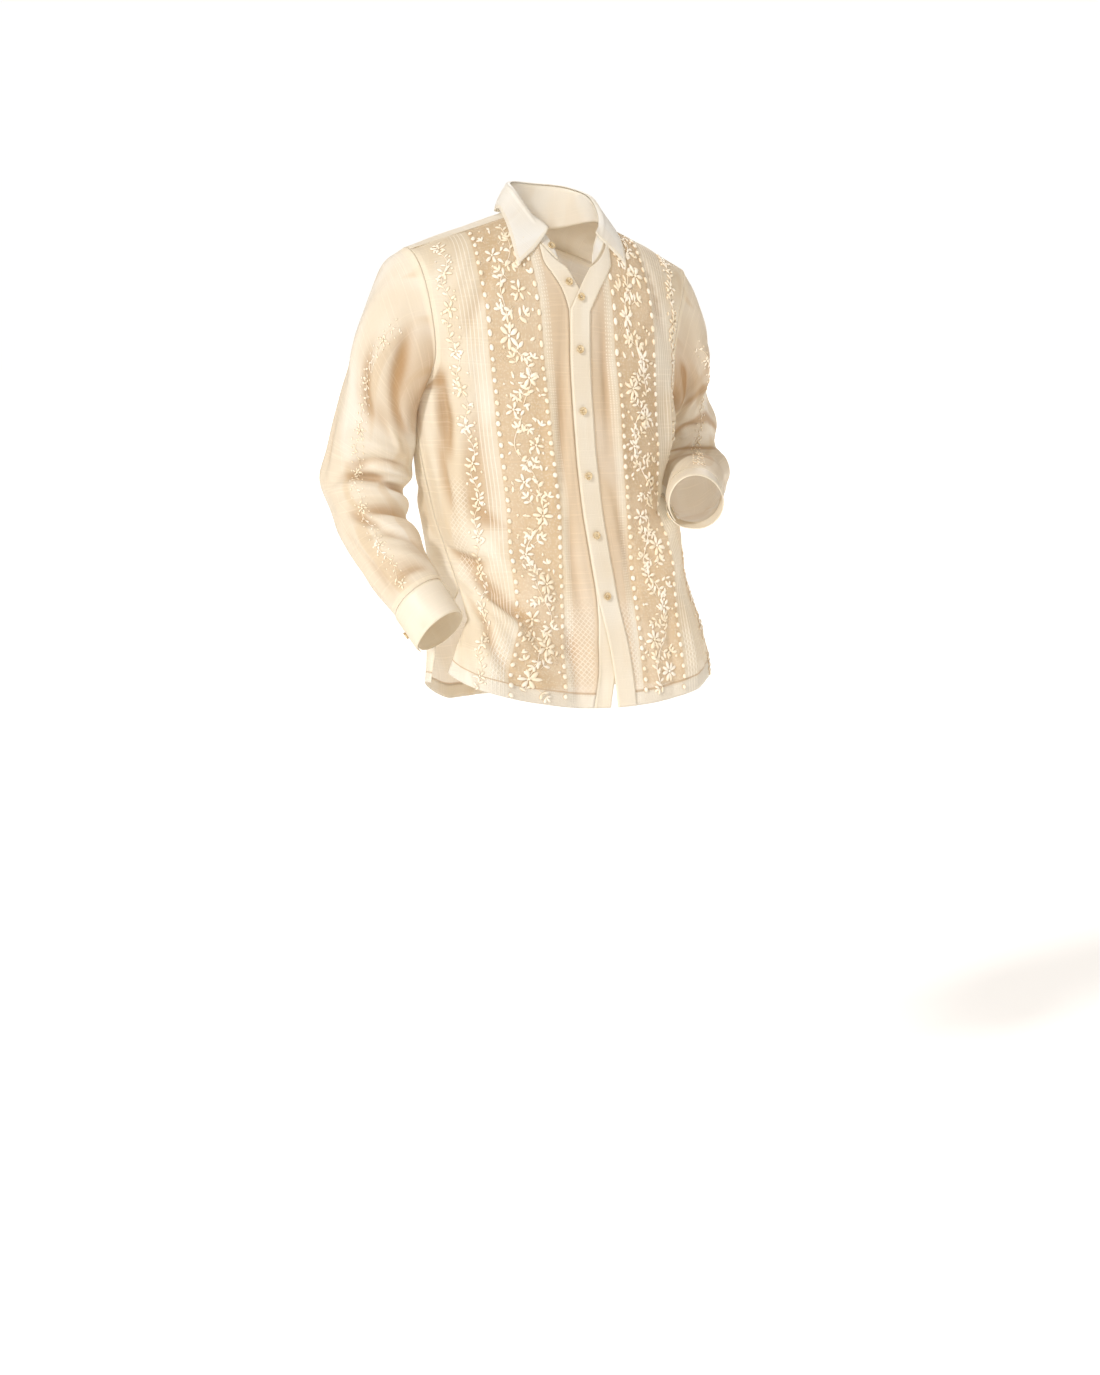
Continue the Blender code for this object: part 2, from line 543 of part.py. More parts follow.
def yoke_boundary(count_side, count_back):
    """Matching points (x, height, back) along the yoke's neck edge and its outer edge, from the
    right front seam round the back to the left front seam."""
    neck, outer = [], []
    for k in range(count_side):
        t = k / count_side
        h = YOKE_FRONT + SEAM / 2 + (RIDGE - YOKE_FRONT) * t
        neck.append((float(neck_half_width(h)), h, False))
        outer.append((h, False))
    low = YOKE_BACK + SEAM / 2
    for k in range(count_side + 1):
        t = k / count_side
        h = RIDGE + (low - RIDGE) * t
        neck_h = RIDGE + (NECK_BACK - RIDGE) * (1 - math.cos(t * math.pi * 0.27))
        neck.append((float(neck_half_width(neck_h, True)), neck_h, True))
        outer.append((h, True))
    x_start = float(neck[-1][0])
    for k in range(1, count_back + 1):
        t = k / count_back
        x = x_start * (1 - t)
        h = RIDGE - (RIDGE - NECK_BACK) * math.sqrt(1 - (x / NECK_HALF) ** 2)
        neck.append((x, h, True))
        outer.append((low, 1 - t))
    return neck, outer


def yoke():
    """One piece over both shoulders, with the neck hole's back in its middle."""
    neck, outer = yoke_boundary(4, 7)
    edge_x = torso(armhole_angle(YOKE_BACK), YOKE_BACK, True)[0] - SEAM / 2
    strips = []
    for (nx, nh, back), edge in zip(neck, outer):
        if isinstance(edge[1], bool):
            oh, ox = edge[0], float(torso(armhole_angle(edge[0]), edge[0], edge[1])[0]) - SEAM / 2
        else:
            oh, ox = edge[0], float(edge_x) * edge[1]
        strips.append([(nx + (ox - nx) * t, nh + (oh - nh) * t, back)
                       for t in np.linspace(0, 1, 9)])
    half = [[posed(torso(angle_of_x(np.float64(x), h), h, back)) for x, h, back in strip]
            for strip in strips]
    other = [[posed(torso(angle_of_x(np.float64(-x), h), h, back)) for x, h, back in strip]
             for strip in strips[:-1]]
    grid = np.array(other + half[::-1])
    cloth("yoke", grid, WALL, CLOTH, inward=True)


# ---------------------------------------------------------------- sleeves and cuffs
def armhole_ring(side):
    """The armhole's edge, from the armpit up the front, over the ridge and down the back, with
    each point's share of the way round (0.5 at the ridge)."""
    low = (ARMPIT, -0.241, -0.222, CHEST)
    front = low + front_rows(side) + (RIDGE,)
    back = (RIDGE,) + (YOKE_BACK + 0.06, YOKE_BACK + 0.03) + BACK_TOP_ROWS[::-1] + low[::-1]
    halves = []
    for heights, is_back in ((front, False), (back, True)):
        heights = np.array(heights)
        points = torso(side * armhole_angle(heights), heights, is_back)
        steps = np.concatenate([[0], np.cumsum(np.linalg.norm(np.diff(points, axis=0), axis=1))])
        halves.append((posed(points), steps / steps[-1] / 2 + (0.5 if is_back else 0)))
    points = np.concatenate([halves[0][0], halves[1][0][1:-1]])
    shares = np.concatenate([halves[0][1], halves[1][1][1:-1]])
    return points, shares


def rail_frame(rails, station, side):
    """Centre, inner-to-outer half vector, front vector and direction of a sleeve at a station."""
    keys = np.arange(len(rails["front"]))

    def read(name, at):
        return np.stack([through(keys, rails[f"{name}_{axis}"], at) for axis in "xyz"], -1)

    centre = (read("out", station) + read("in", station)) / 2
    half = (read("out", station) - read("in", station)) / 2
    ahead = np.minimum(station + 0.15, keys[-1])
    behind = ahead - 0.3
    run = (read("out", ahead) + read("in", ahead) - read("out", behind) - read("in", behind)) / 2
    outwards = np.array([float(side), 0, 0])
    share = smooth(station, 0.0, 2.0)
    run = unit(unit(run) * share[..., None] + outwards * (1 - share[..., None]))
    front = unit(np.cross(half, run)) * -side
    return centre, half, front, run


def rail_ring(rails, station, turn, side):
    """The sleeve's plain tube at a station and a turn (0 inner, 0.25 front, 0.5 outer)."""
    centre, half, front, run = rail_frame(rails, station, side)
    keys = np.arange(len(rails["front"]))
    ahead = through(keys, rails["front"], station)
    behind = through(keys, rails["back"], station)
    a = turn * 2 * math.pi
    reach = np.where(np.sin(a) > 0, ahead, behind) * np.sin(a)
    return centre - half * np.cos(a)[..., None] + front * reach[..., None]


def cuff_point(rails, distance, turn, side):
    """A point on the cuff's outer face: `distance` past the sleeve's end, at a turn that may go
    a little past one whole turn where the cuff laps over itself."""
    last = np.full(np.shape(turn), len(rails["front"]) - 1.0)
    centre, half, front, run = rail_frame(rails, last, side)
    a = (turn + CUFF_START[side]) * 2 * math.pi
    radius = np.linalg.norm(half, axis=-1)
    lap = (BAND_WALL + 0.0008) * smooth(turn, 0.88, 0.99)
    taper = 1 - 0.03 * np.asarray(distance) / CUFF_LENGTH
    ring = -unit(half) * np.cos(a)[..., None] + front * np.sin(a)[..., None]
    size = (radius * taper + lap)[..., None]
    return centre + run * np.asarray(distance)[..., None] + ring * size


def clear_of_body(points, side):
    """Moves a sleeve's points out of the body of the shirt, so that it only just clears it."""
    x, y, z = points[..., 0], points[..., 1], points[..., 2]
    sway_x = through(SWAY["level"], SWAY["x"], z)
    sway_y = through(SWAY["level"], SWAY["y"], z)
    level = np.minimum(z, CHEST)
    width = through(TORSO["level"], TORSO["half_width"], level)
    front = through(TORSO["level"], TORSO["front"], level)
    back = through(TORSO["level"], TORSO["back"], level)
    if side > 0:
        press = np.exp(-(((z - ELBOW_PRESS["level"]) / ELBOW_PRESS["height"]) ** 2))
        width = width - ELBOW_PRESS["in"] * press * 0.8
    depth = np.where(y < sway_y, front, back)
    inside = np.clip(np.abs(y - sway_y) / depth, 0, 1) ** SQUARENESS
    limit = width * np.clip(1 - inside, 0, 1) ** (1 / SQUARENESS) + 0.0035
    distance = side * (x - sway_x)
    needed = np.maximum(limit - distance, 0) * (1 - smooth(z, CHEST, CHEST + 0.05))
    pushed = distance + needed
    return np.stack([sway_x + side * pushed, y, z], -1)


def sleeve_folds(folds, station, turn):
    """How far a sleeve's folds move its cloth out."""
    total = np.zeros(np.broadcast(station, turn).shape)
    for k in range(len(folds["station"])):
        away = (turn - folds["side"][k] + 0.5) % 1 - 0.5
        along = station - folds["station"][k] - folds["slant"][k] * away
        bump = np.exp(-((along / folds["width"][k]) ** 2)) * np.exp(
            -((away / folds["reach"][k]) ** 2))
        total += folds["depth"][k] * bump
    return total * smooth(station, 0.6, 1.8) * smooth(-station, -9.0, -8.1)


def sleeve_grid(rails, folds, side, stations, shares, edge):
    """The sleeve's outer face: the armhole's own ring first, which fades into the tube, and the
    cuff's ring last."""
    station, turn = np.meshgrid(stations, shares, indexing="ij")
    plain = rail_ring(rails, station, turn, side)
    first = rail_ring(rails, np.zeros_like(shares), shares, side)
    left_over = edge + np.array([side * SEAM, 0, 0]) - first
    fade = 1 - smooth(stations, 0.0, 3.2)
    plain = plain + left_over[None] * fade[:, None, None]
    middle = plain.mean(axis=1, keepdims=True)
    out = unit(plain - middle)
    grid = plain + out * sleeve_folds(folds, station, turn)[..., None]
    held = clear_of_body(grid, side)
    grid = grid + (held - grid) * smooth(station, 0.0, 0.5)[..., None]
    turns = (shares - CUFF_START[side]) % 1.0
    last = cuff_point(rails, np.full(shares.shape, -SEAM), np.minimum(turns, 0.88), side)
    free = turns > 0.88
    last[free] = cuff_point(rails, np.full(free.sum(), -SEAM), turns[free] - 1.0, side)

    near = smooth(stations, 7.4, 9.0)
    return grid * (1 - near[:, None, None]) + last[None] * near[:, None, None]


def without_loops(grid):
    """Cuts off each loop that a bent tube's rings make where they would cross at the inside of
    the bend, and softens the crease that is left."""
    made = grid.copy()
    cut = np.zeros(grid.shape[:2])
    for column in range(grid.shape[1]):
        path = grid[:, column]
        walked = np.concatenate([[0], np.cumsum(np.linalg.norm(np.diff(path, axis=0), axis=1))])
        gaps = np.linalg.norm(path[:, None] - path[None], axis=2)
        saved = walked[None] - walked[:, None] - 3 * gaps
        start, end = np.unravel_index(np.argmax(saved), saved.shape)
        if saved[start, end] > 0:
            kept = np.concatenate([path[:start + 1], path[end:]])
            length = np.concatenate([[0], np.cumsum(np.linalg.norm(np.diff(kept, axis=0),
                                                                   axis=1))])
            at = walked / walked[-1] * length[-1]
            made[:, column] = np.stack([np.interp(at, length, kept[:, axis])
                                        for axis in range(3)], -1)
            middle = length[start] / length[-1] * (len(grid) - 1)
            cut[:, column] = np.exp(-((np.arange(len(grid)) - middle) / 7) ** 2)
    for _ in range(6):
        around = made.copy()
        around[1:-1, 1:-1] = (made[:-2, 1:-1] + made[2:, 1:-1]
                              + made[1:-1, :-2] + made[1:-1, 2:]) / 4
        made += (around - made) * cut[..., None]
    return made


def sleeves():
    for side, name, rails, folds in ((-1, "right", RIGHT_SLEEVE, RIGHT_FOLDS),
                                     (1, "left", LEFT_SLEEVE, LEFT_FOLDS)):
        edge, shares = armhole_ring(side)
        # the loops are found on rings that lie four times as close, then every fourth is kept
        stations = np.linspace(0, 9, 27 * 4 + 1)
        grid = without_loops(sleeve_grid(rails, folds, side, stations, shares, edge))[::4]
        cloth("sleeve_" + name, grid, WALL, CLOTH, closed=True, inward=side > 0)
        turns = np.linspace(0, 1 + CUFF_LAP, 24)
        lengths = np.linspace(0, CUFF_LENGTH, 4)
        distance, turn = np.meshgrid(lengths, turns, indexing="ij")
        cloth("cuff_" + name, cuff_point(rails, distance, turn, side), BAND_WALL, BANDS,
              inward=side > 0)


# ---------------------------------------------------------------- collar
def neck_point(turn):
    """A point of the neck hole's edge: turn is 0 at the centre back, negative to the wearer's
    right, +-180 degrees at the centre front."""
    a = np.radians(turn)
    x = NECK_HALF * np.sin(a)
    points = []
    for one_x, one_a in zip(np.atleast_1d(x), np.atleast_1d(a)):
        back = abs(one_a) <= math.pi / 2
        low = NECK_BACK if back else NECK_FRONT
        h = RIDGE - (RIDGE - low) * abs(math.cos(one_a))
        points.append(torso(angle_of_x(np.float64(one_x), h), h, back))
    return np.array(points)


def collar_line(name, turn):
    return np.stack([through(COLLAR["turn"], COLLAR[f"{name}_{axis}"], turn) for axis in "xyz"],
                    -1)


def stand_point(turns, share):
    """A point of the stand's outer face: share is 0 at its seam and 1 at its top edge, which
    rounds down at the two front ends."""
    base, top = neck_point(turns), collar_line("top", turns)
    end = np.minimum(turns - STAND_TURN[0], STAND_TURN[1] - turns)
    drop = 1 - 0.30 * (1 - smooth(end, 0.0, 9.0))
    on_bands = 0.0006 * smooth(-turns, 125, 140) + 0.0016 * smooth(turns, 125, 140)
    start = unit(top - base) * (SEAM + WALL * 0.6 + on_bands)[:, None]
    return base + start + (top - base - start) * (share * drop)[:, None]


def above_shoulder(points, gap):
    """Lifts points that are less than `gap` above the shoulders and the chest."""
    x, y, z = points[..., 0], points[..., 1], points[..., 2]
    depth = np.where(y < 0, TORSO["front"][-1], TORSO["back"][-1])
    out = depth * np.clip(1 - (np.abs(x) / (CHEST_HALF + 0.02)) ** SQUARENESS, 0.01, 1) ** (
        1 / SQUARENESS)
    cosine = np.clip(np.abs(y) / out, 0, 0.97)
    sine = np.sqrt(1 - cosine**2)
    top = CHEST + (ridge_height(x) - CHEST) * sine
    steep = np.sqrt(1 + ((ridge_height(x) - CHEST) * cosine / (sine * out)) ** 2)
    lowest = top + gap * steep
    inside = np.abs(y) < out * 0.97
    return np.stack([x, y, np.where(inside, np.maximum(z, lowest), z)], -1)


def collar():
    turns = np.linspace(STAND_TURN[0], STAND_TURN[1], 32)
    rows = np.array([stand_point(turns, share) for share in (0.0, 0.34, 0.67, 1.0)])
    cloth("collar_stand", posed(rows), BAND_WALL, BANDS, inward=True)
    turns = np.linspace(LEAF_TURN[0], LEAF_TURN[1], 33)
    fold = collar_line("top", turns)
    edge = collar_line("fall", turns)
    away = fold - np.array([0.004, -0.010, 0])
    away[:, 2] = 0
    away = unit(away)
    upward = np.array([0, 0, 1.0])
    rows = []
    for share, out, up in ((0.0, 0.0, 0.0026), (0.03, 0.0032, 0.0036), (0.14, 0.0056, 0.0018),
                           (0.42, 0.0062, 0.0), (0.72, 0.0040, 0.0), (1.0, 0.0, 0.0)):
        rows.append(fold + (edge - fold) * share + away * out + upward * up)
    leaf = above_shoulder(np.array(rows), BAND_WALL + WALL)
    cloth("collar_leaf", posed(leaf), BAND_WALL, BANDS)


# ---------------------------------------------------------------- buttons
def seated_button(name, samples, outwards):
    """A button on the plane that fits the sampled cloth under it, just clear of its highest
    sample."""
    middle = samples.mean(axis=0)
    face = np.linalg.svd(samples - middle)[2][2]
    face = face if face @ outwards > 0 else -face
    rest = ((samples - middle) @ face).max() + LAY
    button(name, middle + face * rest, face, samples[1] - samples[0])


def body_button(name, height, side, offset, lift):
    u = (float(opening(height, side)) + offset) * side
    du, dh = np.meshgrid((-0.005, 0.0, 0.005), (-0.005, 0.0, 0.005), indexing="ij")
    samples = body(u + du.ravel(), height + dh.ravel(), False, lift)
    seated_button(name, samples, np.array([0.0, -1.0, 0.3]))


def buttons():
    body_button("button_under", UNDER_BUTTON, -1, BAND / 2, 0.0)
    over = BAND_WALL + 2 * LAY
    for k, height in enumerate(OVER_BUTTONS):
        body_button(f"button_front_{k + 1}", height, 1, BAND / 2, over)
    samples = np.concatenate([stand_point(np.array([-147.0, -151.0, -154.5]), share)
                              for share in (0.40, 0.55, 0.70)])
    seated_button("button_collar", posed(samples), np.array([-0.5, -1.0, 0.0]))
    for side, name, rails in ((-1, "right", RIGHT_SLEEVE), (1, "left", LEFT_SLEEVE)):
        turn, at = np.meshgrid(1.0 + CUFF_LAP - 0.045 + np.array([-0.018, 0.0, 0.018]),
                               (0.025, 0.030, 0.035), indexing="ij")
        samples = cuff_point(rails, at.ravel(), turn.ravel(), side)
        middle = rail_frame(rails, np.array(9.0), side)
        axis = samples.mean(axis=0) - middle[0]
        seated_button("button_cuff_" + name, samples, axis - middle[3] * (axis @ middle[3]))


for old in list(bpy.data.objects):
    bpy.data.objects.remove(old)
body_pieces()
bands()
yoke()
sleeves()
collar()
buttons()
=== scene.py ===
# %% [markdown]
# # Dressing a barong tagalog
# A barong tagalog is a sheer long-sleeved shirt, worn loose over the trousers. Its fronts carry
# tall bands of raised white embroidery on piña, a cloth woven from pineapple-leaf fibre.
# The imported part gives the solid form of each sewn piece. This lesson lays thin cloth over that
# form and adds what a hand would sew on it: folds, hems, stitches, flowers and shell buttons.
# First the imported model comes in. It is the fixed frame: every piece below is placed by it.

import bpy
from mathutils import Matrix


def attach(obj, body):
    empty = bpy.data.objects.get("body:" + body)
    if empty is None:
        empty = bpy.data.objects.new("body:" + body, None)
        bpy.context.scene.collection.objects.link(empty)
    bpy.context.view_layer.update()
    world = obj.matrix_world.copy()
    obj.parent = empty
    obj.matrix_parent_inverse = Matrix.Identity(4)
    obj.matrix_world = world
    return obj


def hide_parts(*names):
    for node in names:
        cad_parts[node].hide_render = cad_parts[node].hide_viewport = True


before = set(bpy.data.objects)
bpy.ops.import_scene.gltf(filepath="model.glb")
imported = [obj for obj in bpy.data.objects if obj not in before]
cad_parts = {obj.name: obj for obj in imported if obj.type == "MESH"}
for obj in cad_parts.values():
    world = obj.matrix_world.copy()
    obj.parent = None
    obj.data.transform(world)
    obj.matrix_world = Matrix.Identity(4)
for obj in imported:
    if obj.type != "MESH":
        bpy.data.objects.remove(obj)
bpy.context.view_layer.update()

# %% [markdown]
# Numbers drive every shape here, so numpy works on whole grids of points at once.
# A few small helpers are used all the time: a smooth curve through a few measured values, a soft
# step from 0 to 1, vectors of length one and the way walked along a line. Tables are written in
# millimetres, as on a dressmaker's tape, and turned to metres, which Blender works in.

# %% Curves and steps
import math

import bmesh
import bpy
import numpy as np
from mathutils import Matrix, Vector


def through(keys, values, at):
    """A smooth curve through the values at the keys (Catmull-Rom slopes), read at `at`."""
    keys, values = np.asarray(keys, float), np.asarray(values, float)
    slopes = np.gradient(values, keys)
    at = np.clip(at, keys[0], keys[-1])
    i = np.clip(np.searchsorted(keys, at, side="right") - 1, 0, len(keys) - 2)
    span = keys[i + 1] - keys[i]
    t = (at - keys[i]) / span
    start, end = values[i], values[i + 1]
    rise = slopes[i] * span * (t**3 - 2 * t**2 + t) + slopes[i + 1] * span * (t**3 - t**2)
    return start + (end - start) * (3 * t**2 - 2 * t**3) + rise


def smooth(value, start, end):
    """0 before start, 1 after end, and a soft step between them."""
    t = np.clip((np.asarray(value, float) - start) / (end - start), 0, 1)
    return t * t * (3 - 2 * t)


def unit(vectors):
    return vectors / np.maximum(np.linalg.norm(vectors, axis=-1, keepdims=True), 1e-12)


def walked(points):
    """The way covered up to each point of a line, or down each column of a grid."""
    steps = np.linalg.norm(np.diff(points, axis=0), axis=-1)
    return np.concatenate([np.zeros_like(steps[:1]), np.cumsum(steps, axis=0)])


def metres(table):
    """Millimetres as metres, for an array of rows or for each named row of a table."""
    if isinstance(table, dict):
        return {name: np.array(row) / 1000 for name, row in table.items()}
    return np.array(table) / 1000


print("half way up a soft step:", float(smooth(0.5, 0, 1)))

# %% [markdown]
# The camera comes first, so that every later step can be looked at. It stands 4.5 m away, to the
# wearer's right of the middle and a little above it, behind a long lens that keeps the
# proportions calm.

# %% Camera
camera = bpy.data.objects.new("camera", bpy.data.cameras.new("camera"))
camera.data.lens = 83
camera.data.sensor_width = 36
camera.data.clip_end = 200
camera.location = (-2.2018, -3.9809, -0.0351)
camera.rotation_euler = Vector((0.48009, 0.86611, -0.13917)).to_track_quat("-Z", "Y").to_euler()
bpy.context.scene.collection.objects.link(camera)
bpy.context.scene.camera = camera
print("camera", round(camera.data.lens), "mm lens at", [round(v, 2) for v in camera.location])

# %% [markdown]
# Colours are picked as sRGB hex values, as on a paint chart, and shaders want them linear, so one
# function does that turn. A second small function adds a node to a material with its settings
# and its links, which keeps each material readable as a list of steps.

# %% Colour and node helpers
def linear(chart):
    """An sRGB hex colour as linear red, green, blue and full alpha."""
    parts = [int(chart[k:k + 2], 16) / 255 for k in (1, 3, 5)]
    turned = [p / 12.92 if p <= 0.04045 else ((p + 0.055) / 1.055) ** 2.4 for p in parts]
    return (*turned, 1.0)


def add_node(tree, kind, inputs=None, **settings):
    """A node of one kind.  Each input is a value, or the output of an earlier node."""
    made = tree.nodes.new("ShaderNode" + kind)
    for name, value in settings.items():
        setattr(made, name, value)
    for name, value in (inputs or {}).items():
        if isinstance(value, bpy.types.NodeSocket):
            tree.links.new(value, made.inputs[name])
        else:
            made.inputs[name].default_value = value
    return made


def new_material(name):
    look = bpy.data.materials.new(name)
    look.use_nodes = True
    look.node_tree.nodes.clear()
    return look, look.node_tree


print("warm ivory is", [round(v, 3) for v in linear("#F3E4C6")])

# %% [markdown]
# The stage is a wide pale floor where the wearer's feet would be, under a bright even sky.
# The main light is a large soft one from the upper left, so that folds and raised thread cast
# small soft shadows to the lower right, and a weak one from the right keeps those shadows open.
# A third one stands behind, for the back of the shirt.
# The light that the room gives back is warmer than the lamps, so shadows on ivory turn tan. The
# camera itself sees the room as white paper.
# Standard colour management keeps a pale cloth as pale as it is painted.

# %% Floor and light
FLOOR_LEVEL = -1.45
bpy.ops.object.select_all(action="DESELECT")
bpy.ops.mesh.primitive_plane_add(size=60, location=(0, 0, FLOOR_LEVEL))
floor = bpy.context.object
floor.name = "floor"
floor_paint, tree = new_material("matt_white_paint")
grain = add_node(tree, "TexNoise", {"Scale": 9.0, "Detail": 3.0})
tone = add_node(tree, "Mix", {"Factor": grain.outputs["Fac"], 6: linear("#FCFBF8"),
                              7: linear("#F8F6F2")}, data_type="RGBA")
paint = add_node(tree, "BsdfPrincipled", {"Base Color": tone.outputs[2], "Roughness": 0.9,
                                          "Emission Color": linear("#FFFFFF"),
                                          "Emission Strength": 0.44})
add_node(tree, "OutputMaterial", {"Surface": paint.outputs[0]})
floor.data.materials.append(floor_paint)

world = bpy.data.worlds.new("pale_studio")
bpy.context.scene.world = world
world.use_nodes = True
world.node_tree.nodes.clear()
seen = add_node(world.node_tree, "LightPath").outputs["Is Camera Ray"]
bounced = add_node(world.node_tree, "Background", {"Color": linear("#FFF0E0"), "Strength": 0.35})
paper = add_node(world.node_tree, "Background", {"Color": linear("#FFFDFA"), "Strength": 1.05})
sky = add_node(world.node_tree, "MixShader", {0: seen, 1: bounced.outputs[0],
                                              2: paper.outputs[0]})
add_node(world.node_tree, "OutputWorld", {"Surface": sky.outputs[0]})


def soft_light(name, strength, angle, toward):
    """A far soft light.  `toward` points from the shirt to the light."""
    lamp = bpy.data.lights.new(name, "SUN")
    lamp.energy = strength
    lamp.angle = math.radians(angle)
    thing = bpy.data.objects.new(name, lamp)
    thing.rotation_euler = Vector(toward).to_track_quat("Z", "Y").to_euler()
    bpy.context.scene.collection.objects.link(thing)
    return lamp


soft_light("key_light", 2.26, 8, (-0.77, -0.40, 0.50))
soft_light("fill_light", 0.42, 60, (0.60, -0.90, 0.25))
soft_light("rear_light", 0.90, 20, (0.55, 0.80, 0.50))
bpy.context.scene.view_settings.view_transform = "Standard"
print("floor at", FLOOR_LEVEL, "m, three far soft lights")

# %% [markdown]
# Cloth hangs on a body, so the shirt's form starts from level sections through the torso. Each
# is a squared ellipse, and a table gives its half width and its depths at eight levels. Above
# the chest the sections roll over to the shoulder ridge.
# The same tables made the solids. Using them again, in place of reading points off a mesh, lets
# the cloth be as dense and as folded as it needs to be and still sit on its solid.

# %% The form of the torso
WALL = 0.0013            # the solids' one ply
BAND_WALL = 0.0016       # the solids' interfaced pieces
SEAM = 0.0006            # air between two pieces that are sewn edge to edge
LAY = 0.0004             # air between two plies that lie on each other
CHEST = -0.190
ARMPIT = -0.250
RISE = 0.200
RIDGE = CHEST + RISE
NECK_HALF = 0.074
NECK_FRONT = CHEST + 0.075
NECK_BACK = CHEST + 0.124
SHOULDER_DROP = 0.40
RIDGE_HALF = 0.242
ARMHOLE_CHEST = 0.192
ARMHOLE_TIP = 0.222
BOTH_SIDES = ((-1, "right"), (1, "left"))
SQUARENESS = 2.25        # 2 would make every section an ellipse
ROLL = 0.071
TORSO = metres({
    "level": (-720, -660, -590, -500, -430, -350, -270, -190),
    "half_width": (207, 203, 194, 187, 189, 197, 204, 209),
    "front": (132, 129, 124, 118, 116, 118, 119, 115),
    "back": (128, 125, 120, 108, 101, 106, 111, 112),
})
CHEST_HALF = TORSO["half_width"][-1]


def ridge_height(x):
    """Height of the shoulder ridge, level across the neck hole and falling to the tips."""
    soft = 0.03
    return -SHOULDER_DROP * (np.sqrt(x**2 + soft**2) - math.hypot(NECK_HALF, soft))


def widening(over):
    return (RIDGE_HALF - CHEST_HALF) * np.sin(over) ** 1.5


def torso(theta, height, back):
    """The form before its pose: theta is 0 on the centre line and +-90 degrees at the sides."""
    theta, height = np.broadcast_arrays(np.asarray(theta, float), np.asarray(height, float))
    level = np.minimum(height, CHEST)
    power = 2 / SQUARENESS
    over = np.clip((height - CHEST) / RISE, 0, 1) * math.pi / 2
    width = through(TORSO["level"], TORSO["half_width"], level) + widening(over)
    depth = through(TORSO["level"], TORSO["back" if back else "front"], level)
    x = width * np.sign(theta) * np.abs(np.sin(theta)) ** power
    out = depth * np.abs(np.cos(theta)) ** power
    y = out * np.cos(over) * (1 if back else -1)
    z = level + (ridge_height(x) - CHEST) * np.sin(over)
    return np.stack([x, y, z], -1)


def angle_of_x(x, height):
    """The angle whose point is x from the centre line, at a height above the chest."""
    over = np.clip((np.asarray(height, float) - CHEST) / RISE, 0, 1) * math.pi / 2
    share = np.clip(np.abs(x) / (CHEST_HALF + widening(over)), 0, 1)
    return np.sign(x) * np.arcsin(share ** (SQUARENESS / 2))


def armhole_angle(height):
    """The angle where the armhole's edge cuts the form, 90 degrees at the armpit."""
    height = np.asarray(height, float)
    at_chest = float(angle_of_x(ARMHOLE_CHEST, CHEST))
    up = np.clip((height - ARMPIT) / (CHEST - ARMPIT), 0, 1)
    low = math.pi / 2 - (math.pi / 2 - at_chest) * np.sqrt(1 - (1 - up) ** 2)
    over = np.clip((height - CHEST) / RISE, 0, 1) * math.pi / 2
    edge = ARMHOLE_CHEST + (ARMHOLE_TIP - ARMHOLE_CHEST) * np.sin(over) ** 1.5
    return np.where(height <= CHEST, low, angle_of_x(edge, height))


print("chest section is", round(2 * CHEST_HALF * 1000), "mm wide")

# %% [markdown]
# A shirt moves with its wearer: the hips sway to one side, one wrist lifts the front over a
# pocket, the other forearm presses the side in. Each of these is a small soft shift of the
# form, given by its own table, so that a pose can be read and changed on its own.

# %% The pose
SWAY = metres({
    "level": (-720, -620, -545, -470, -400, -320, -220, -140, -50, 60),
    "x": (33, 31, 23, 13, 3, -6, -12, -11, -1, 4),
    "y": (-24, -20, -14, -9, -4, 0, 1, 1, 0, -2),
})
WRIST_LIFT = metres({
    "height": (-720, -680, -640, -600, -560, -520, -470, -420),
    "front_x": (-58, -56, -50, -36, -11, 3, 2, 0),
    "front_y": (-100, -98, -94, -90, -76, -32, -10, 0),
    "front_z": (24, 22, 17, 11, 5, 0, 0, 0),
    "back_x": (-25, -24, -23, -21, -11, 3, 2, 0),
    "back_y": (6, 6, 4, 2, -10, -32, -10, 0),
    "back_z": (32, 30, 16, 6, 0, 0, 0, 0),
})
LEFT_FLARE = {"x": 0.009, "y": -0.006, "top": 0.470, "bottom": 0.680, "reach": 0.150}
ELBOW_PRESS = {"in": 0.018, "back": 0.006, "level": -0.384, "height": 0.046,
               "front_from": 0.165, "front_to": 0.065, "back_from": 0.110, "back_to": 0.0}


def posed(points):
    """The form with its shoulders rolled and its hips swayed."""
    x, y, z = points[..., 0], points[..., 1], points[..., 2]
    rolled = z - ROLL * x * smooth(z, -0.45, -0.10)
    return np.stack([x + through(SWAY["level"], SWAY["x"], z),
                     y + through(SWAY["level"], SWAY["y"], z), rolled], -1)


print("the hips sway", round(SWAY["x"][0] * 1000), "mm, the wrist lifts the hem",
      round(WRIST_LIFT["front_z"][0] * 1000), "mm")

# %% [markdown]
# A pattern's point is found on the form by measuring: u is the way along the cloth from the
# centre line, h is the level. So the form's cloth lengths are taken once at many levels, and
# read backwards to find the angle at which any u lies.

# %% Wear the pattern
LEVEL_GAP = 10.0

# Cloth distances from the centre line, measured once at many levels.
LEVELS = np.linspace(-0.720, RIDGE, 93)
ANGLES = np.linspace(0, math.pi / 2, 91)
LENGTHS, SIDES, RUNNING = {}, {}, {}
for back in (False, True):
    ring = torso(ANGLES[None, :], LEVELS[:, None], back)
    LENGTHS[back] = walked(ring.swapaxes(0, 1)).T
    SIDES[back] = np.array([np.interp(armhole_angle(level), ANGLES, row)
                            for level, row in zip(LEVELS, LENGTHS[back])])
    # each level's lengths start well after the last one's, so that one search finds them all
    RUNNING[back] = (LENGTHS[back] + LEVEL_GAP * np.arange(len(LEVELS))[:, None]).ravel()


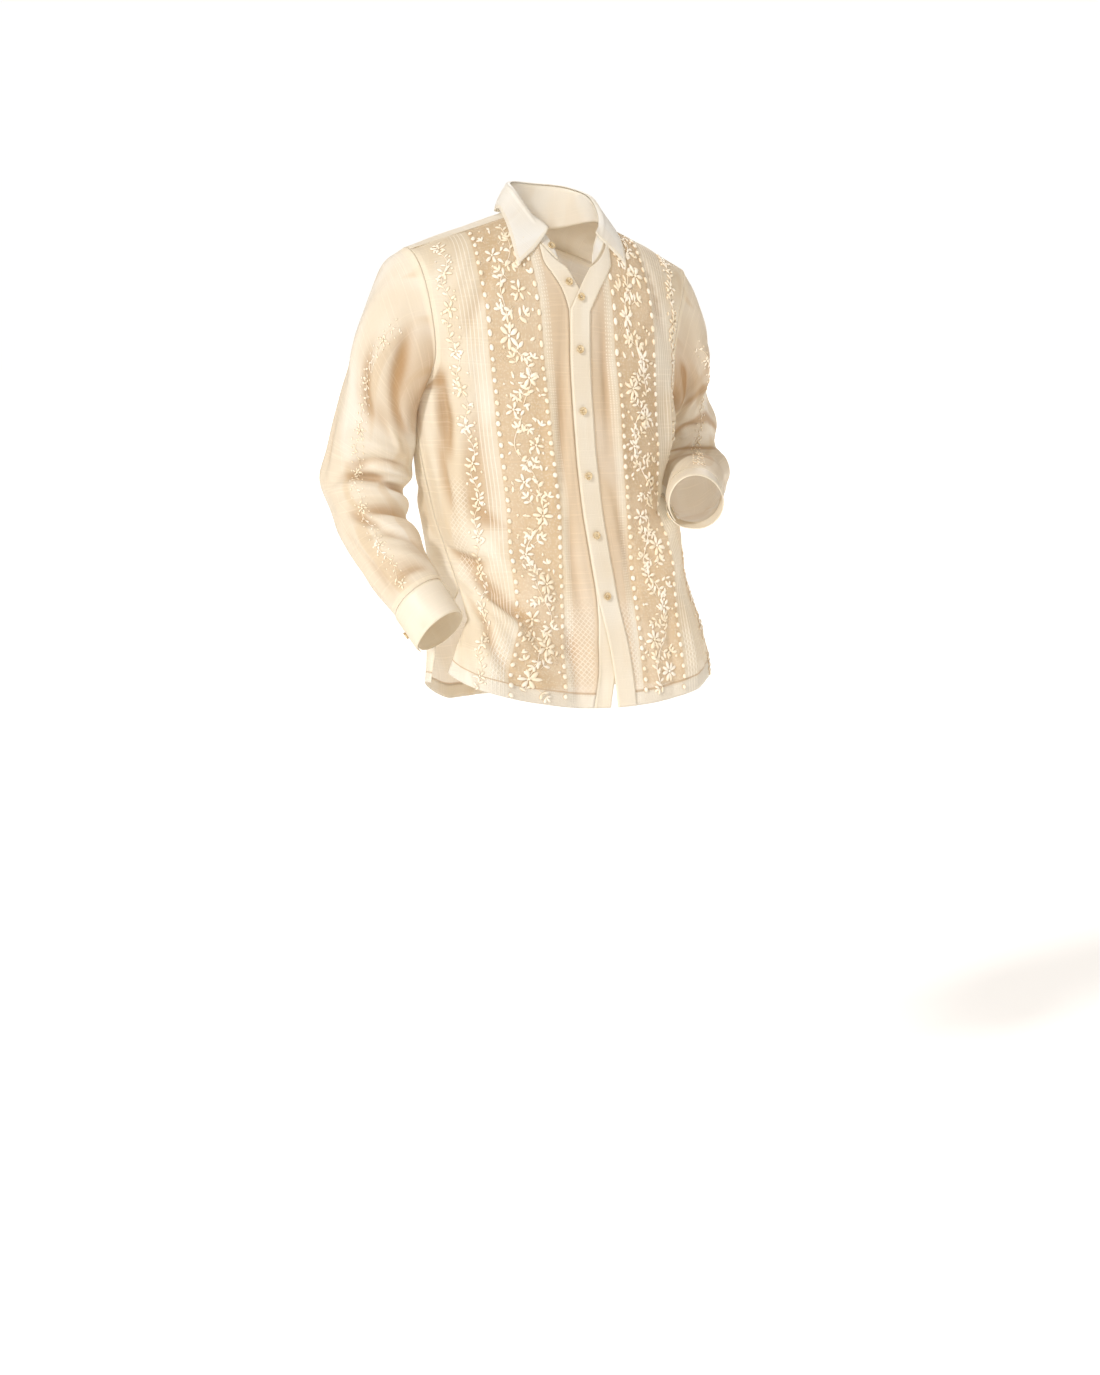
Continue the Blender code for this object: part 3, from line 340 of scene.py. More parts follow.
def side_edge(height, back):
    """Cloth distance from the centre line to the side seam or the armhole."""
    return np.interp(height, LEVELS, SIDES[back]) - SEAM / 2


def angle_in_level(distance, level, back):
    lengths = LENGTHS[back]
    distance = np.minimum(distance, lengths[level, -1] - 1e-9)
    at = np.searchsorted(RUNNING[back], distance + LEVEL_GAP * level, side="right") - 1
    column = np.clip(at - level * len(ANGLES), 0, len(ANGLES) - 2)
    start, end = lengths[level, column], lengths[level, column + 1]
    return (column + (distance - start) / (end - start)) * ANGLES[1]


def angle_at(u, height, back):
    """The angle where the cloth distance from the centre line is u, at each height."""
    u, height = np.broadcast_arrays(np.asarray(u, float), np.asarray(height, float))
    row = np.interp(height, LEVELS, np.arange(len(LEVELS)))
    low = np.minimum(row.astype(int), len(LEVELS) - 2)
    share = row - low
    below, above = (angle_in_level(np.abs(u), level, back) for level in (low, low + 1))
    return np.sign(u) * (below * (1 - share) + above * share)


def worn(u, h, back):
    """The posed point of the cloth at (u, h), before its folds."""
    points = torso(angle_at(u, h, back), h, back)
    share = smooth(-u, 0.160, 0.250) if back else smooth(-u, 0.055, 0.235)
    name = "back_" if back else "front_"
    for axis in range(3):
        points[..., axis] += share * np.interp(h, WRIST_LIFT["height"],
                                               WRIST_LIFT[name + "xyz"[axis]])
    press = np.exp(-(((h - ELBOW_PRESS["level"]) / ELBOW_PRESS["height"]) ** 2))
    edge = side_edge(h, back)
    pressed = press * smooth(u - edge, -ELBOW_PRESS[name + "from"],
                             -ELBOW_PRESS[name + "to"] - 1e-6)
    points[..., 0] -= ELBOW_PRESS["in"] * pressed
    points[..., 1] += ELBOW_PRESS["back"] * pressed
    near = smooth(u, edge - LEFT_FLARE["reach"], edge)
    flare = near * smooth(-h, LEFT_FLARE["top"], LEFT_FLARE["bottom"])
    points[..., 0] += LEFT_FLARE["x"] * flare
    points[..., 1] += LEFT_FLARE["y"] * flare
    return posed(points)


print("hem girth", round(2 * float(side_edge(-0.69, False) + side_edge(-0.69, True)), 3), "m")

# %% [markdown]
# Folds are what makes cloth read as cloth. Real ones start where something holds the shirt (the
# armhole, the button band, the elbow, the pocketed wrist) and fade as they run out. Simulation
# would give folds of its own choosing, so here each is placed one by one: a curved stroke from one
# point to another on the cloth, with its own depth and width. A ridge has a shallow trough on
# each side, because cloth that rises in one place is drawn in from beside it.
# The first table holds the broad folds of the solids, the second the finer creases.

# %% Folds of the body
# start (u, h), end (u, h), depth and width
FRONT_FOLDS = metres([
    (-190, -290, -165, -420, -7, 26), (-215, -430, -110, -510, 7, 27),
    (-215, -490, -80, -600, -7, 28), (-110, -520, -90, -700, 5, 30),
    (195, -280, 160, -380, 5, 26), (220, -430, 140, -490, 5, 26), (120, -500, 135, -690, 5, 30),
])
BACK_FOLDS = metres([
    (-160, -200, -90, -330, 5, 28), (150, -220, 70, -380, 5, 28), (-70, -470, -85, -700, 9, 30),
    (85, -500, 95, -710, 8, 30), (-170, -400, -185, -600, 17, 45), (205, -420, 100, -540, -6, 28),
])
# start (u, h), middle (u, h), end (u, h), depth and width
FRONT_CREASES = metres([
    (-203, -220, -207, -275, -205, -345, -11, 12), (-183, -235, -180, -300, -190, -380, 5, 11),
    (-224, -300, -212, -360, -205, -440, -8, 11), (-150, -170, -150, -260, -160, -360, -3.6, 12),
    (-120, -60, -140, -130, -175, -190, -4.4, 13), (-150, -40, -165, -90, -185, -130, 3, 10),
    (-22, -150, -24, -260, -40, -390, -6, 10), (-52, -230, -46, -330, -60, -430, 3.4, 10),
    (-30, -400, -46, -470, -40, -560, -5, 11), (-250, -458, -215, -482, -155, -478, -9, 10),
    (-246, -490, -195, -520, -130, -590, 6.4, 11), (-250, -515, -205, -560, -150, -650, -7.6, 12),
    (-262, -545, -235, -600, -210, -676, 5.2, 12), (-214, -500, -150, -545, -85, -570, -5, 11),
    (-150, -560, -120, -620, -115, -680, 4, 13), (-185, -390, -150, -430, -100, -440, -4, 11),
    (-70, -560, -60, -620, -66, -684, -4.8, 12), (-34, -580, -30, -630, -40, -684, 3.2, 10),
    (40, -140, 50, -230, 40, -330, -5, 10), (56, -200, 64, -300, 62, -390, 3.2, 11),
    (42, -370, 54, -450, 46, -550, -5.4, 11), (120, -50, 140, -120, 172, -180, -4.4, 13),
    (180, -210, 168, -270, 172, -340, 4.6, 11), (198, -225, 188, -300, 190, -372, -8.4, 11),
    (225, -372, 170, -405, 120, -420, -4.6, 10), (222, -400, 165, -440, 105, -470, 4.2, 11),
    (226, -430, 180, -480, 150, -540, -3.6, 11), (150, -500, 140, -590, 150, -684, 3.6, 12),
    (190, -480, 196, -570, 186, -670, -3.6, 12), (222, -520, 218, -600, 228, -660, 3, 11),
    (60, -560, 70, -620, 66, -684, 2.6, 10), (100, -540, 104, -610, 96, -684, -2.6, 10),
])
BACK_CREASES = metres([
    (-180, -160, -150, -240, -100, -320, 7.5, 11), (-200, -200, -180, -290, -140, -370, -7.5, 11),
    (-120, -150, -100, -220, -60, -290, -5.4, 12), (170, -170, 150, -250, 100, -330, 7.5, 11),
    (196, -210, 180, -300, 130, -390, -7.5, 11), (110, -150, 80, -230, 40, -300, -4.8, 12),
    (-30, -330, -20, -430, -30, -540, 5.4, 13), (30, -360, 36, -450, 24, -560, -5.1, 12),
    (-110, -440, -116, -560, -108, -692, -6, 12), (-46, -500, -50, -600, -40, -692, -5.7, 12),
    (20, -520, 14, -610, 24, -692, 6, 13), (56, -500, 58, -600, 50, -692, -5.4, 11),
    (130, -480, 132, -590, 124, -692, -6.3, 12), (166, -470, 170, -580, 164, -690, 6, 12),
    (216, -380, 160, -430, 100, -450, 6.6, 11), (216, -410, 150, -470, 90, -510, -6, 11),
    (-216, -360, -160, -410, -110, -430, -6, 11), (-210, -300, -150, -350, -80, -370, 5.4, 12),
    (-80, -110, -84, -170, -76, -240, 3.9, 10), (74, -110, 78, -180, 70, -250, 3.9, 10),
])


print(len(FRONT_CREASES), "creases on the fronts,", len(BACK_CREASES), "on the back")

# %% [markdown]
# A crease is drawn like a brush stroke. Its curve is cut into short runs, and a point of the
# cloth takes its height from the nearest one: a ridge with a shallow trough on each side, which
# swells in the middle of the stroke and fades at both ends. Slow waves are added everywhere,
# since no hanging cloth is quite even.
# A lift is measured square to the folded cloth, so each point looks at four neighbours 1.5 mm
# away to find how the cloth is tilted there.

# %% Heights of the folds
TILT_STEP = 0.0015


def stroke_height(u, h, strokes):
    """Height of curved folds: each a ridge or a trough that swells in its middle and fades out."""
    total = np.zeros(np.shape(u))
    shares = np.linspace(0, 1, 9)[:, None]
    for stroke in strokes:
        a, b, c, depth, width = stroke[0:2], stroke[2:4], stroke[4:6], stroke[6], stroke[7]
        line = a * (1 - shares) ** 2 + 2 * b * shares * (1 - shares) + c * shares**2
        low, high = line.min(axis=0) - 3 * width, line.max(axis=0) + 3 * width
        near = (u > low[0]) & (u < high[0]) & (h > low[1]) & (h < high[1])
        if not near.any():
            continue
        nu, nh = u[near], h[near]
        best, along = np.full(nu.shape, np.inf), np.zeros(nu.shape)
        for k in range(len(line) - 1):
            run = line[k + 1] - line[k]
            t = np.clip(((nu - line[k, 0]) * run[0] + (nh - line[k, 1]) * run[1]) / (run @ run),
                        0, 1)
            away = (nu - line[k, 0] - t * run[0]) ** 2 + (nh - line[k, 1] - t * run[1]) ** 2
            closer = away < best
            best = np.where(closer, away, best)
            along = np.where(closer, (k + t) / (len(line) - 1), along)
        q = best / width**2
        swell = np.sin(np.pi * np.clip(along * 0.94 + 0.03, 0, 1)) ** 0.8
        total[near] += depth * swell * (1 - 0.55 * q) * np.exp(-q)
    return total


SWELL = 0.0007
WAVES = np.random.default_rng(11).uniform(0, 1, (10, 4))   # small slow swells, the same each run


def swell_height(u, h):
    """The slight unevenness that no hanging cloth is without."""
    total = np.zeros(np.shape(u))
    for a, b, c, d in WAVES:
        total += np.sin((20 + 55 * a) * u + (12 + 34 * b) * h * (1 if d > 0.5 else -1) + 6.3 * c)
    return SWELL * total / 2


def fold_height(u, h, back):
    """How far all the folds move the cloth out at (u, h)."""
    total = np.zeros_like(u)
    for fold in BACK_FOLDS if back else FRONT_FOLDS:
        start, run, depth, width = fold[:2], fold[2:4] - fold[:2], fold[4], fold[5]
        t = np.clip(((u - start[0]) * run[0] + (h - start[1]) * run[1]) / (run @ run), 0, 1)
        away = np.hypot(u - start[0] - t * run[0], h - start[1] - t * run[1])
        total += depth * np.exp(-((away / width) ** 2))
    total = total * smooth(-h, 0.10, 0.20)
    fine = stroke_height(u, h, BACK_CREASES if back else FRONT_CREASES)
    fine = fine + swell_height(u, h + (1.3 if back else 0.0))
    reach = side_edge(h, back) - np.abs(u)
    on_band = 1 if back else smooth(np.abs(u), 0.014, 0.034)
    return total * smooth(reach, 0.0, 0.055) + fine * smooth(reach, 0.0, 0.011) * on_band


def body(u, h, back, lift=0.0):
    """Points of the worn body of the shirt at cloth coordinates (u, h), `lift` above the cloth."""
    u, h = np.broadcast_arrays(np.asarray(u, float), np.asarray(h, float))
    spots, height = [], []
    for du, dh in ((0, 0), (TILT_STEP, 0), (-TILT_STEP, 0), (0, TILT_STEP), (0, -TILT_STEP)):
        hh = np.clip(h + dh, LEVELS[0], RIDGE)
        reach = np.interp(hh, LEVELS, LENGTHS[back][:, -1])
        uu = np.clip(u + du, -reach, reach)
        spots.append(worn(uu, hh, back))
        height.append(fold_height(uu, hh, back))
    across, along = spots[1] - spots[2], spots[3] - spots[4]
    out = unit(np.cross(across, along)) * (-1 if back else 1)
    slope_u = (height[1] - height[2]) / np.linalg.norm(across, axis=-1)
    slope_h = (height[3] - height[4]) / np.linalg.norm(along, axis=-1)
    tilted = unit(out - unit(across) * slope_u[..., None] - unit(along) * slope_h[..., None])
    return spots[0] + out * height[0][..., None] + tilted * np.asarray(lift)[..., None]


print("the creases are up to", round(1000 * float(abs(FRONT_CREASES[:, 6]).max()), 1), "mm high")

# %% [markdown]
# Each body piece is cut like a paper pattern. Its rows follow the hem's curve at the bottom and
# the neck hole at the top, and its columns run from the button band to the side seam. First come
# the edges themselves, as cloth coordinates: u across, h up.

# %% Pattern edges
HEM_FRONT = -0.686
HEM_BACK = -0.694
SIDE_RISE_FRONT = 0.044
SIDE_RISE_BACK = 0.012
HEM_CURVE_TOP = 0.470
HEM_TURN = 0.020
BAND = 0.027
OVERLAP = 0.004
YOKE_FRONT = RIDGE - 0.026
YOKE_BACK = RIDGE - 0.092
OPENING = metres({
    "height": (-700, -675, -640, -600, -565, -537, -515, -175, -152, -136, -126, -116, -104, -60),
    "right": (16, 12, 4, -2, -9, -12.5, -13.5, -13.5, -12.5, -4, 5, 14, 25, 30),
    "left": (-2, -4.5, -6.5, -8.5, -11, -13, -13.5, -13.5, -13, -1, 6, 15, 25, 30),
})


def hem_level(u, edge, centre, rise):
    return centre + rise * np.clip(np.abs(u) / edge, 0, 1) ** 2


def row_heights(height, u, edge, back):
    """A level row bent towards the hem's curve as it gets near it."""
    centre = HEM_BACK if back else HEM_FRONT
    rise = SIDE_RISE_BACK if back else SIDE_RISE_FRONT
    fade = smooth(-np.asarray(height, float), HEM_CURVE_TOP, -centre)
    return height + (hem_level(u, edge, centre, rise) - centre) * fade


def opening(height, side):
    """A front's inner edge, from the centre line towards its own side (side -1 is the right)."""
    return np.interp(height, OPENING["height"], OPENING["right" if side < 0 else "left"])


def neck_half_width(height, back=False):
    low = NECK_BACK if back else NECK_FRONT
    down = (RIDGE - np.asarray(height, float)) / (RIDGE - low)
    return NECK_HALF * np.sqrt(np.clip(1 - down**2, 0, 1))


def neck_edge(height):
    """Cloth distance from the centre line to the neck hole, on the front, at cloth heights."""
    height = np.atleast_1d(np.asarray(height, float))
    angles = angle_of_x(neck_half_width(height), height)
    rows = np.interp(height, LEVELS, np.arange(len(LEVELS)))
    found = []
    for angle, row in zip(angles, rows):
        low = min(int(row), len(LEVELS) - 2)
        ends = [np.interp(angle, ANGLES, LENGTHS[False][k]) for k in (low, low + 1)]
        found.append(ends[0] + (ends[1] - ends[0]) * (row - low))
    return np.array(found)


def front_start(height, side):
    """Where a front's cloth begins, beside its band or at the neck hole."""
    return max(float(opening(height, side)) + BAND + SEAM, float(neck_edge(height)[0]) + SEAM)


def band_tops(offsets, side):
    """Cloth heights where a button band meets the neck hole, at offsets across the band."""
    heights = np.linspace(NECK_FRONT, RIDGE, 400)
    half = neck_edge(heights)
    return np.array([float(np.interp(0.0, half - opening(heights, side) - offset, heights))
                     for offset in offsets]) - SEAM


TOPS = {side: band_tops((0.0, BAND), side) for side in (-1, 1)}


print("the over band reaches the neck at", round(float(TOPS[1][0]), 3), "m")

# %% [markdown]
# Now the rows and columns. The main rows are the heights where something changes, and finer
# ones are filled in between. Each row bends down to the hem or up to the neck hole as it gets
# near them, so that no row is cut off at an edge.

# %% Rows and columns
BODY_ROWS = (-0.640, -0.612, -0.585, -0.560, -0.537, -0.515, -0.490, -0.465, -0.440, -0.415,
             -0.390, -0.360, -0.330, -0.300, -0.275, ARMPIT, -0.241, -0.222, -0.190)
FRONT_TOP_ROWS = (-0.170, -0.156, -0.144, -0.132, -0.120, -0.108, -0.096, -0.084, -0.068,
                  -0.045, YOKE_FRONT)
BACK_TOP_ROWS = (-0.160, -0.134, -0.108, YOKE_BACK)


def front_rows(side):
    lowest = float(TOPS[side][0])
    below = [row for row in FRONT_TOP_ROWS if row < lowest - 0.005]
    above = [row for row in FRONT_TOP_ROWS if row > lowest + 0.005]
    return tuple(below + [lowest] + above)


def neck_rise(row, top, lowest):
    """How much a row climbs towards the neck, so that it ends at `top` on the neck hole."""
    if row <= lowest:
        return (top - lowest) * smooth(row, -0.165, lowest)
    return (top - lowest) * (YOKE_FRONT - row) / (YOKE_FRONT - lowest)


def finer(rows, step):
    """The rows with as many more between them as keeps them `step` apart."""
    found = [rows[0]]
    for low, high in zip(rows[:-1], rows[1:]):
        count = max(1, math.ceil(abs(high - low) / step - 1e-6))
        found += [low + (high - low) * k / count for k in range(1, count + 1)]
    return tuple(found)


def panel_coordinates(back, rows, columns, side=1):
    """(u, h) of a body piece's points: a row per height, a column per share of its width."""
    us, hs = [], []
    for height in rows:
        level = np.full(columns.shape, float(height))
        if not back:
            lowest, top = TOPS[side]
            level += neck_rise(height, top, lowest) * (1 - smooth(columns, 0.0, 0.6))
        h = level
        for _ in range(3):
            edge = side_edge(h, back)
            full = np.interp(h, LEVELS, LENGTHS[back][:, -1]) - SEAM / 2
            start = -full if back else front_start(level[0], side)
            share = 2 * columns - 1 if back else columns
            u = (start + (full - start) * columns - (full - edge) * share**3) * side
            h = row_heights(level, u, edge, back)
        us.append(u)
        hs.append(h)
    return np.array(us), np.array(hs)


def band_coordinates(rows, offsets, side):
    """(u, h) of a button band; its top follows the neck hole."""
    us, hs = [], []
    tops = band_tops(offsets, side)
    lowest = tops[0]
    for height in [row for row in rows if row <= lowest + 1e-9]:
        h = height + (tops - lowest) * smooth(height, -0.165, lowest)
        us.append((opening(h, side) + np.asarray(offsets)) * side)
        hs.append(row_heights(h, us[-1], float(side_edge(height, False)), False))
    return np.array(us), np.array(hs)


print("main rows up a front:", len(BODY_ROWS + front_rows(1)) + 2)

# %% [markdown]
# A grid of points becomes a cloth piece in three steps. The grid's quads are the mesh. The
# pattern coordinates go into a UV map in metres, so that thread lies along the cloth however it
# is folded. A Solidify modifier then gives the cloth its real thin wall, grown inwards from the
# face that shows, and is applied. Piña is about 0.2 mm thick: 0.3 mm is used here, the least
# that still shades cleanly. An interfaced band has 0.9 mm and the collar's leaf 1.2 mm.
# Masks such as "doubled", where a seam or a hem lies under the cloth, are stored as attributes
# on the points, for the material to read.

# %% Cloth from a grid
PLY = 0.0003
STIFF_PLY = 0.0009
LEAF_PLY = 0.0012
made_pieces = {}
grids = {}


def new_piece(name, mesh):
    """An object for a mesh that is already in its place, kept under its name."""
    made_pieces[name] = bpy.data.objects.new(name, mesh)
    bpy.context.scene.collection.objects.link(made_pieces[name])
    return made_pieces[name]


def cloth(name, grid, plan, ply=PLY, closed=False, inward=False, masks=None):
    """A grid of points as one thin piece of cloth, with its plan (metres) as a UV map."""
    rows, columns = grid.shape[:2]
    r, c = np.meshgrid(np.arange(rows - 1), np.arange(columns - 1), indexing="ij")
    corner = np.stack([r * columns + c, r * columns + c + 1, (r + 1) * columns + c + 1,
                       (r + 1) * columns + c], -1).reshape(-1, 4)
    if inward:
        corner = corner[:, ::-1]
    mesh = bpy.data.meshes.new(name)
    mesh.from_pydata(grid.reshape(-1, 3).tolist(), [], corner.tolist())
    flat = np.stack([np.asarray(part, float).ravel() for part in plan], -1)
    layer = mesh.uv_layers.new(name="cut_plan")
    loops = np.empty(len(mesh.loops), np.int32)
    mesh.loops.foreach_get("vertex_index", loops)
    layer.data.foreach_set("uv", flat[loops].astype(np.float32).ravel())
    for mask, values in (masks or {}).items():
        attribute = mesh.attributes.new(mask, "FLOAT", "POINT")
        attribute.data.foreach_set("value", np.asarray(values, np.float32).ravel())
    thing = new_piece(name, mesh)
    bpy.ops.object.select_all(action="DESELECT")
    thing.select_set(True)
    bpy.context.view_layer.objects.active = thing
    if closed:
        edit = bmesh.new()
        edit.from_mesh(mesh)
        bmesh.ops.remove_doubles(edit, verts=edit.verts, dist=1e-6)
        edit.to_mesh(mesh)
        edit.free()
    wall = thing.modifiers.new("wall", "SOLIDIFY")
    wall.thickness = ply
    wall.offset = -1
    bpy.ops.object.modifier_apply(modifier="wall")
    bpy.ops.object.shade_smooth()
    across, down = np.gradient(grid, axis=1), np.gradient(grid, axis=0)
    outward = unit(np.cross(across, down)) * (-1 if inward else 1)
    grids[name] = (grid, outward)
    return thing


def near_edge(width, *distances):
    """1 within `width` of any of the edges whose distances are given, and 0 past it."""
    return np.max([1 - smooth(d, width * 0.88, width * 1.12) for d in distances], axis=0)


def sunk(height):
    """Painted shade in the trough of a fold: how deep each point lies in it, from 0 to 1."""
    return smooth(-height, 0.0004, 0.0100)


def painted_armpit_shade(along, up):
    """How much shade is painted in the armpit, by distances from it in metres, 0 to 1.2."""
    reach = np.hypot(along / 0.034, up / np.where(up > 0, 0.045, 0.090))
    return 1.2 * (1 - smooth(reach, 0.10, 1.0))


print("piña wall", PLY * 1000, "mm, interfaced wall", STIFF_PLY * 1000, "mm")

# %% [markdown]
# The two fronts and the back come first. Their top edges slip 3.5 mm under the yoke, as a seam's
# allowance does, so that no light shows through the seam. They are cut about 4 mm fine, which is
# enough for a crease 20 mm wide to look round. The embroidered bands of the fronts run straight
# down the real cloth but wander a little on the worn one, so a table follows them: the distance
# from the centre line to the middle of each band, at eleven heights.

# %% Fronts and back
FRONT_STEP, BACK_STEP = 0.0042, 0.0045      # between the rows of a front and of the back
FRONT_SHARES, BACK_SHARES = np.linspace(0, 1, 64), np.linspace(0, 1, 120)
SLIP = 0.0035            # how far a top edge runs on under the yoke
ALLOWANCE = 0.007        # the doubled cloth along a seam
BAND_LINES = metres({
    "height": (-700, -620, -570, -520, -470, -420, -300, -210, -150, -90, -30),
    "broad_right": (124, 119.5, 110.5, 103.5, 96, 88, 89, 92.5, 98.5, 111, 112),
    "narrow_right": (205, 205, 208, 200, 182, 170, 169, 178, 189, 195, 196),
    "broad_left": (80, 81, 83, 88, 93, 98, 102, 102, 97, 86, 88),
    "narrow_left": (215, 215, 215, 212, 207, 202, 195, 195, 190, 184, 182),
})
BROAD_HALF = 0.036       # from the broad band's middle to its rows of dots


def band_line(kind, side, height):
    """Distance from the centre line to the middle of an embroidered band."""
    name = kind + ("_right" if side < 0 else "_left")
    return through(BAND_LINES["height"], BAND_LINES[name], height)


# patches of net: beside which band, from where to where across, and between which heights
NETS = (("from_broad", (-0.084, -0.043), -0.655, -0.545),
        ("from_narrow", (0.015, 0.040), -0.500, -0.370),
        ("from_broad", (0.044, 0.068), -0.655, -0.585))


def patch(value, low, high, soft):
    """1 between low and high, 0 outside, with soft ends."""
    return smooth(value, low - soft, low + soft) * (1 - smooth(value, high - soft, high + soft))


def slipped(h, seam):
    """How a top edge dips to slip under the yoke, and its raw end further still."""
    return -(PLY + LAY) * smooth(h, seam - 0.004, seam) - 0.0018 * smooth(h, seam, seam + SLIP)


def one_row_more(u, h):
    """A grid's rows and one row past its top edge, which slips under the yoke."""
    return np.vstack([u, u[-1:]]), np.vstack([h, h[-1:] + SLIP])


def body_masks(u, h, back, *edges):
    """Where the cloth of the body is doubled or in its hem, and how much shade is painted on it in
    folds and in the armpit.
    """
    to_side = side_edge(h, back) - np.abs(u)
    return {"doubled": near_edge(ALLOWANCE, to_side, *edges),
            "hem": 1 - smooth(h - h[:1], HEM_TURN - 0.0012, HEM_TURN + 0.0012),
            # painted shade: tan in the troughs of folds and in the armpit
            "sunk": sunk(fold_height(u, h, back)) + painted_armpit_shade(to_side, h - ARMPIT)}


def hem(name, back, rows, shares, side=1):
    """The turned-up ply behind the bottom edge of a front or the back."""
    u, h = panel_coordinates(back, rows, shares, side)
    cloth("hem_" + name + "_cloth", body(u, h, back, lift=-PLY - LAY), (u, h),
          inward=back or side < 0)


for side, name in BOTH_SIDES:
    hem_rows = (HEM_FRONT, HEM_FRONT + HEM_TURN)
    rows = finer(hem_rows + BODY_ROWS + front_rows(side), FRONT_STEP)
    u, h = one_row_more(*panel_coordinates(False, rows, FRONT_SHARES, side))
    masks = body_masks(u, h, False, np.abs(u - u[:, :1]), YOKE_FRONT - h)
    masks["from_broad"] = np.abs(u) - band_line("broad", side, h)
    masks["from_narrow"] = np.abs(u) - band_line("narrow", side, h)
    masks["net"] = np.max([patch(masks[band], *ends, soft=0.003) * patch(h, low, high, soft=0.02)
                           for band, ends, low, high in NETS], axis=0)
    cloth("front_" + name + "_cloth", body(u, h, False, lift=slipped(h, YOKE_FRONT)), (u, h),
          inward=side < 0, masks=masks)
    hem(name, False, finer(hem_rows, FRONT_STEP), FRONT_SHARES, side)

hem_rows = (HEM_BACK, HEM_BACK + HEM_TURN)
rows = finer(hem_rows + BODY_ROWS + BACK_TOP_ROWS, BACK_STEP)
u, h = one_row_more(*panel_coordinates(True, rows, BACK_SHARES))
cloth("back_cloth", body(u, h, True, lift=slipped(h, YOKE_BACK)), (u, h), inward=True,
      masks=body_masks(u, h, True, YOKE_BACK - h))
hem("back", True, finer(hem_rows, BACK_STEP), BACK_SHARES)
for name, thing in made_pieces.items():
    print(name, len(thing.data.polygons), "faces")

# %% [markdown]
# The button bands are two plies with interfacing between them, so they hang flatter and show
# whiter than the piña. The left one laps over the right one, and each has a ridge of doubled
# cloth where it is folded under, drawn here as a slightly raised rim.

# %% Button bands
for side, name, top in ((-1, "right", 0.0), (1, "left", BAND_WALL + 2 * LAY)):
    width = BAND + (OVERLAP if side > 0 else 0.0)
    offsets = np.linspace(0.0, width, 13)
    rows = finer((HEM_FRONT, HEM_FRONT + HEM_TURN) + BODY_ROWS + front_rows(side), 0.004)
    u, h = band_coordinates(rows, offsets, side)
    rim = np.minimum(offsets, width - offsets)
    raised = 0.00025 * (1 - smooth(rim, 0.0018, 0.0030)) - 0.0006 * (1 - smooth(rim, 0, 0.0012))
    ripple = 0.00035 * np.sin(h * 61 + 1.3) * np.sin(h * 23 + u * 30)
    grid = body(u, h, False, lift=top + np.broadcast_to(raised, u.shape) + ripple)
    cloth("band_" + name, grid, (u, h), ply=STIFF_PLY, inward=side < 0,
          masks={"doubled": np.broadcast_to(near_edge(0.0022, rim), u.shape)})
print("button bands", round(BAND * 1000), "mm wide")

# %% [markdown]
# The yoke is one piece over both shoulders. Its rows run from the neck hole out to the seams of
# the fronts and the back. A few long soft pulls cross it, from the neck to the shoulder tips.

# %% Yoke
YOKE_ROW = 0.0022        # about the way between two rows


def yoke_boundary(count_side, count_back):
    """Matching points (x, height, back) along the yoke's neck edge and its outer edge."""
    neck, outer = [], []
    for k in range(count_side):
        h = YOKE_FRONT + SEAM / 2 + (RIDGE - YOKE_FRONT) * k / count_side
        neck.append((float(neck_half_width(h)), h, False))
        outer.append((h, False))
    low = YOKE_BACK + SEAM / 2
    for k in range(count_side + 1):
        t = k / count_side
        h = RIDGE + (low - RIDGE) * t
        neck_h = RIDGE + (NECK_BACK - RIDGE) * (1 - math.cos(t * math.pi * 0.27))
        neck.append((float(neck_half_width(neck_h, True)), neck_h, True))
        outer.append((h, True))
    x_start = float(neck[-1][0])
    for k in range(1, count_back + 1):
        x = x_start * (1 - k / count_back)
        h = RIDGE - (RIDGE - NECK_BACK) * math.sqrt(1 - (x / NECK_HALF) ** 2)
        neck.append((x, h, True))
        outer.append((low, 1 - k / count_back))
    return neck, outer


neck, outer = yoke_boundary(12, 28)
edge_x = float(torso(armhole_angle(YOKE_BACK), YOKE_BACK, True)[0]) - SEAM / 2
shares = np.linspace(0, 1, 34)
half, other, plan_half, seams = [], [], [], []
for k, ((nx, nh, on_back), edge) in enumerate(zip(neck, outer)):
    if isinstance(edge[1], bool):
        oh, ox = edge[0], float(torso(armhole_angle(edge[0]), edge[0], edge[1])[0]) - SEAM / 2
    else:
        oh, ox = edge[0], edge_x * edge[1]
    x, h = nx + (ox - nx) * shares, nh + (oh - nh) * shares
    free = min(1.0, k / 4) * (1 - shares**5)          # the seams hold the cloth still
    pulls = 0.0009 * np.sin(shares * np.pi) * np.sin(h * (95 if on_back else 70) + 1.0)
    for sign, keep in ((1, half), (-1, other)):
        points = torso(angle_of_x(sign * x, h), h, on_back)
        points[..., 2] += free * (pulls + 0.0005 * np.sin(60 * sign * x + 40 * h))
        keep.append(posed(points))
    down = (RIDGE - h) * (1 if on_back else -1)
    plan_half.append((x, -down))
    seams.append(np.minimum((1 - shares) * math.hypot(ox - nx, oh - nh), 1.0))
grid = np.array(other[:-1] + half[::-1])
plan = np.array([(-x, d) for x, d in plan_half[:-1]] + [(x, d) for x, d in plan_half[::-1]])
to_edge = np.array(seams[:-1] + seams[::-1])
first = np.minimum(np.arange(len(grid)), np.arange(len(grid))[::-1])[:, None] * YOKE_ROW
edges = near_edge(ALLOWANCE, to_edge, np.broadcast_to(first, to_edge.shape))
masks = {"doubled": np.maximum(edges, 0.7)}
cloth("yoke_cloth", grid, (plan[:, 0], plan[:, 1]), inward=True, masks=masks)
print("yoke", grid.shape[0], "by", grid.shape[1], "points")

# %% [markdown]
# A sleeve is a tube round two rails, one along its outer side and one along its inner side, read
# at ten stations from the armhole to the cuff. "front" and "back" are how far it reaches forwards
# and backwards from the line between the rails.

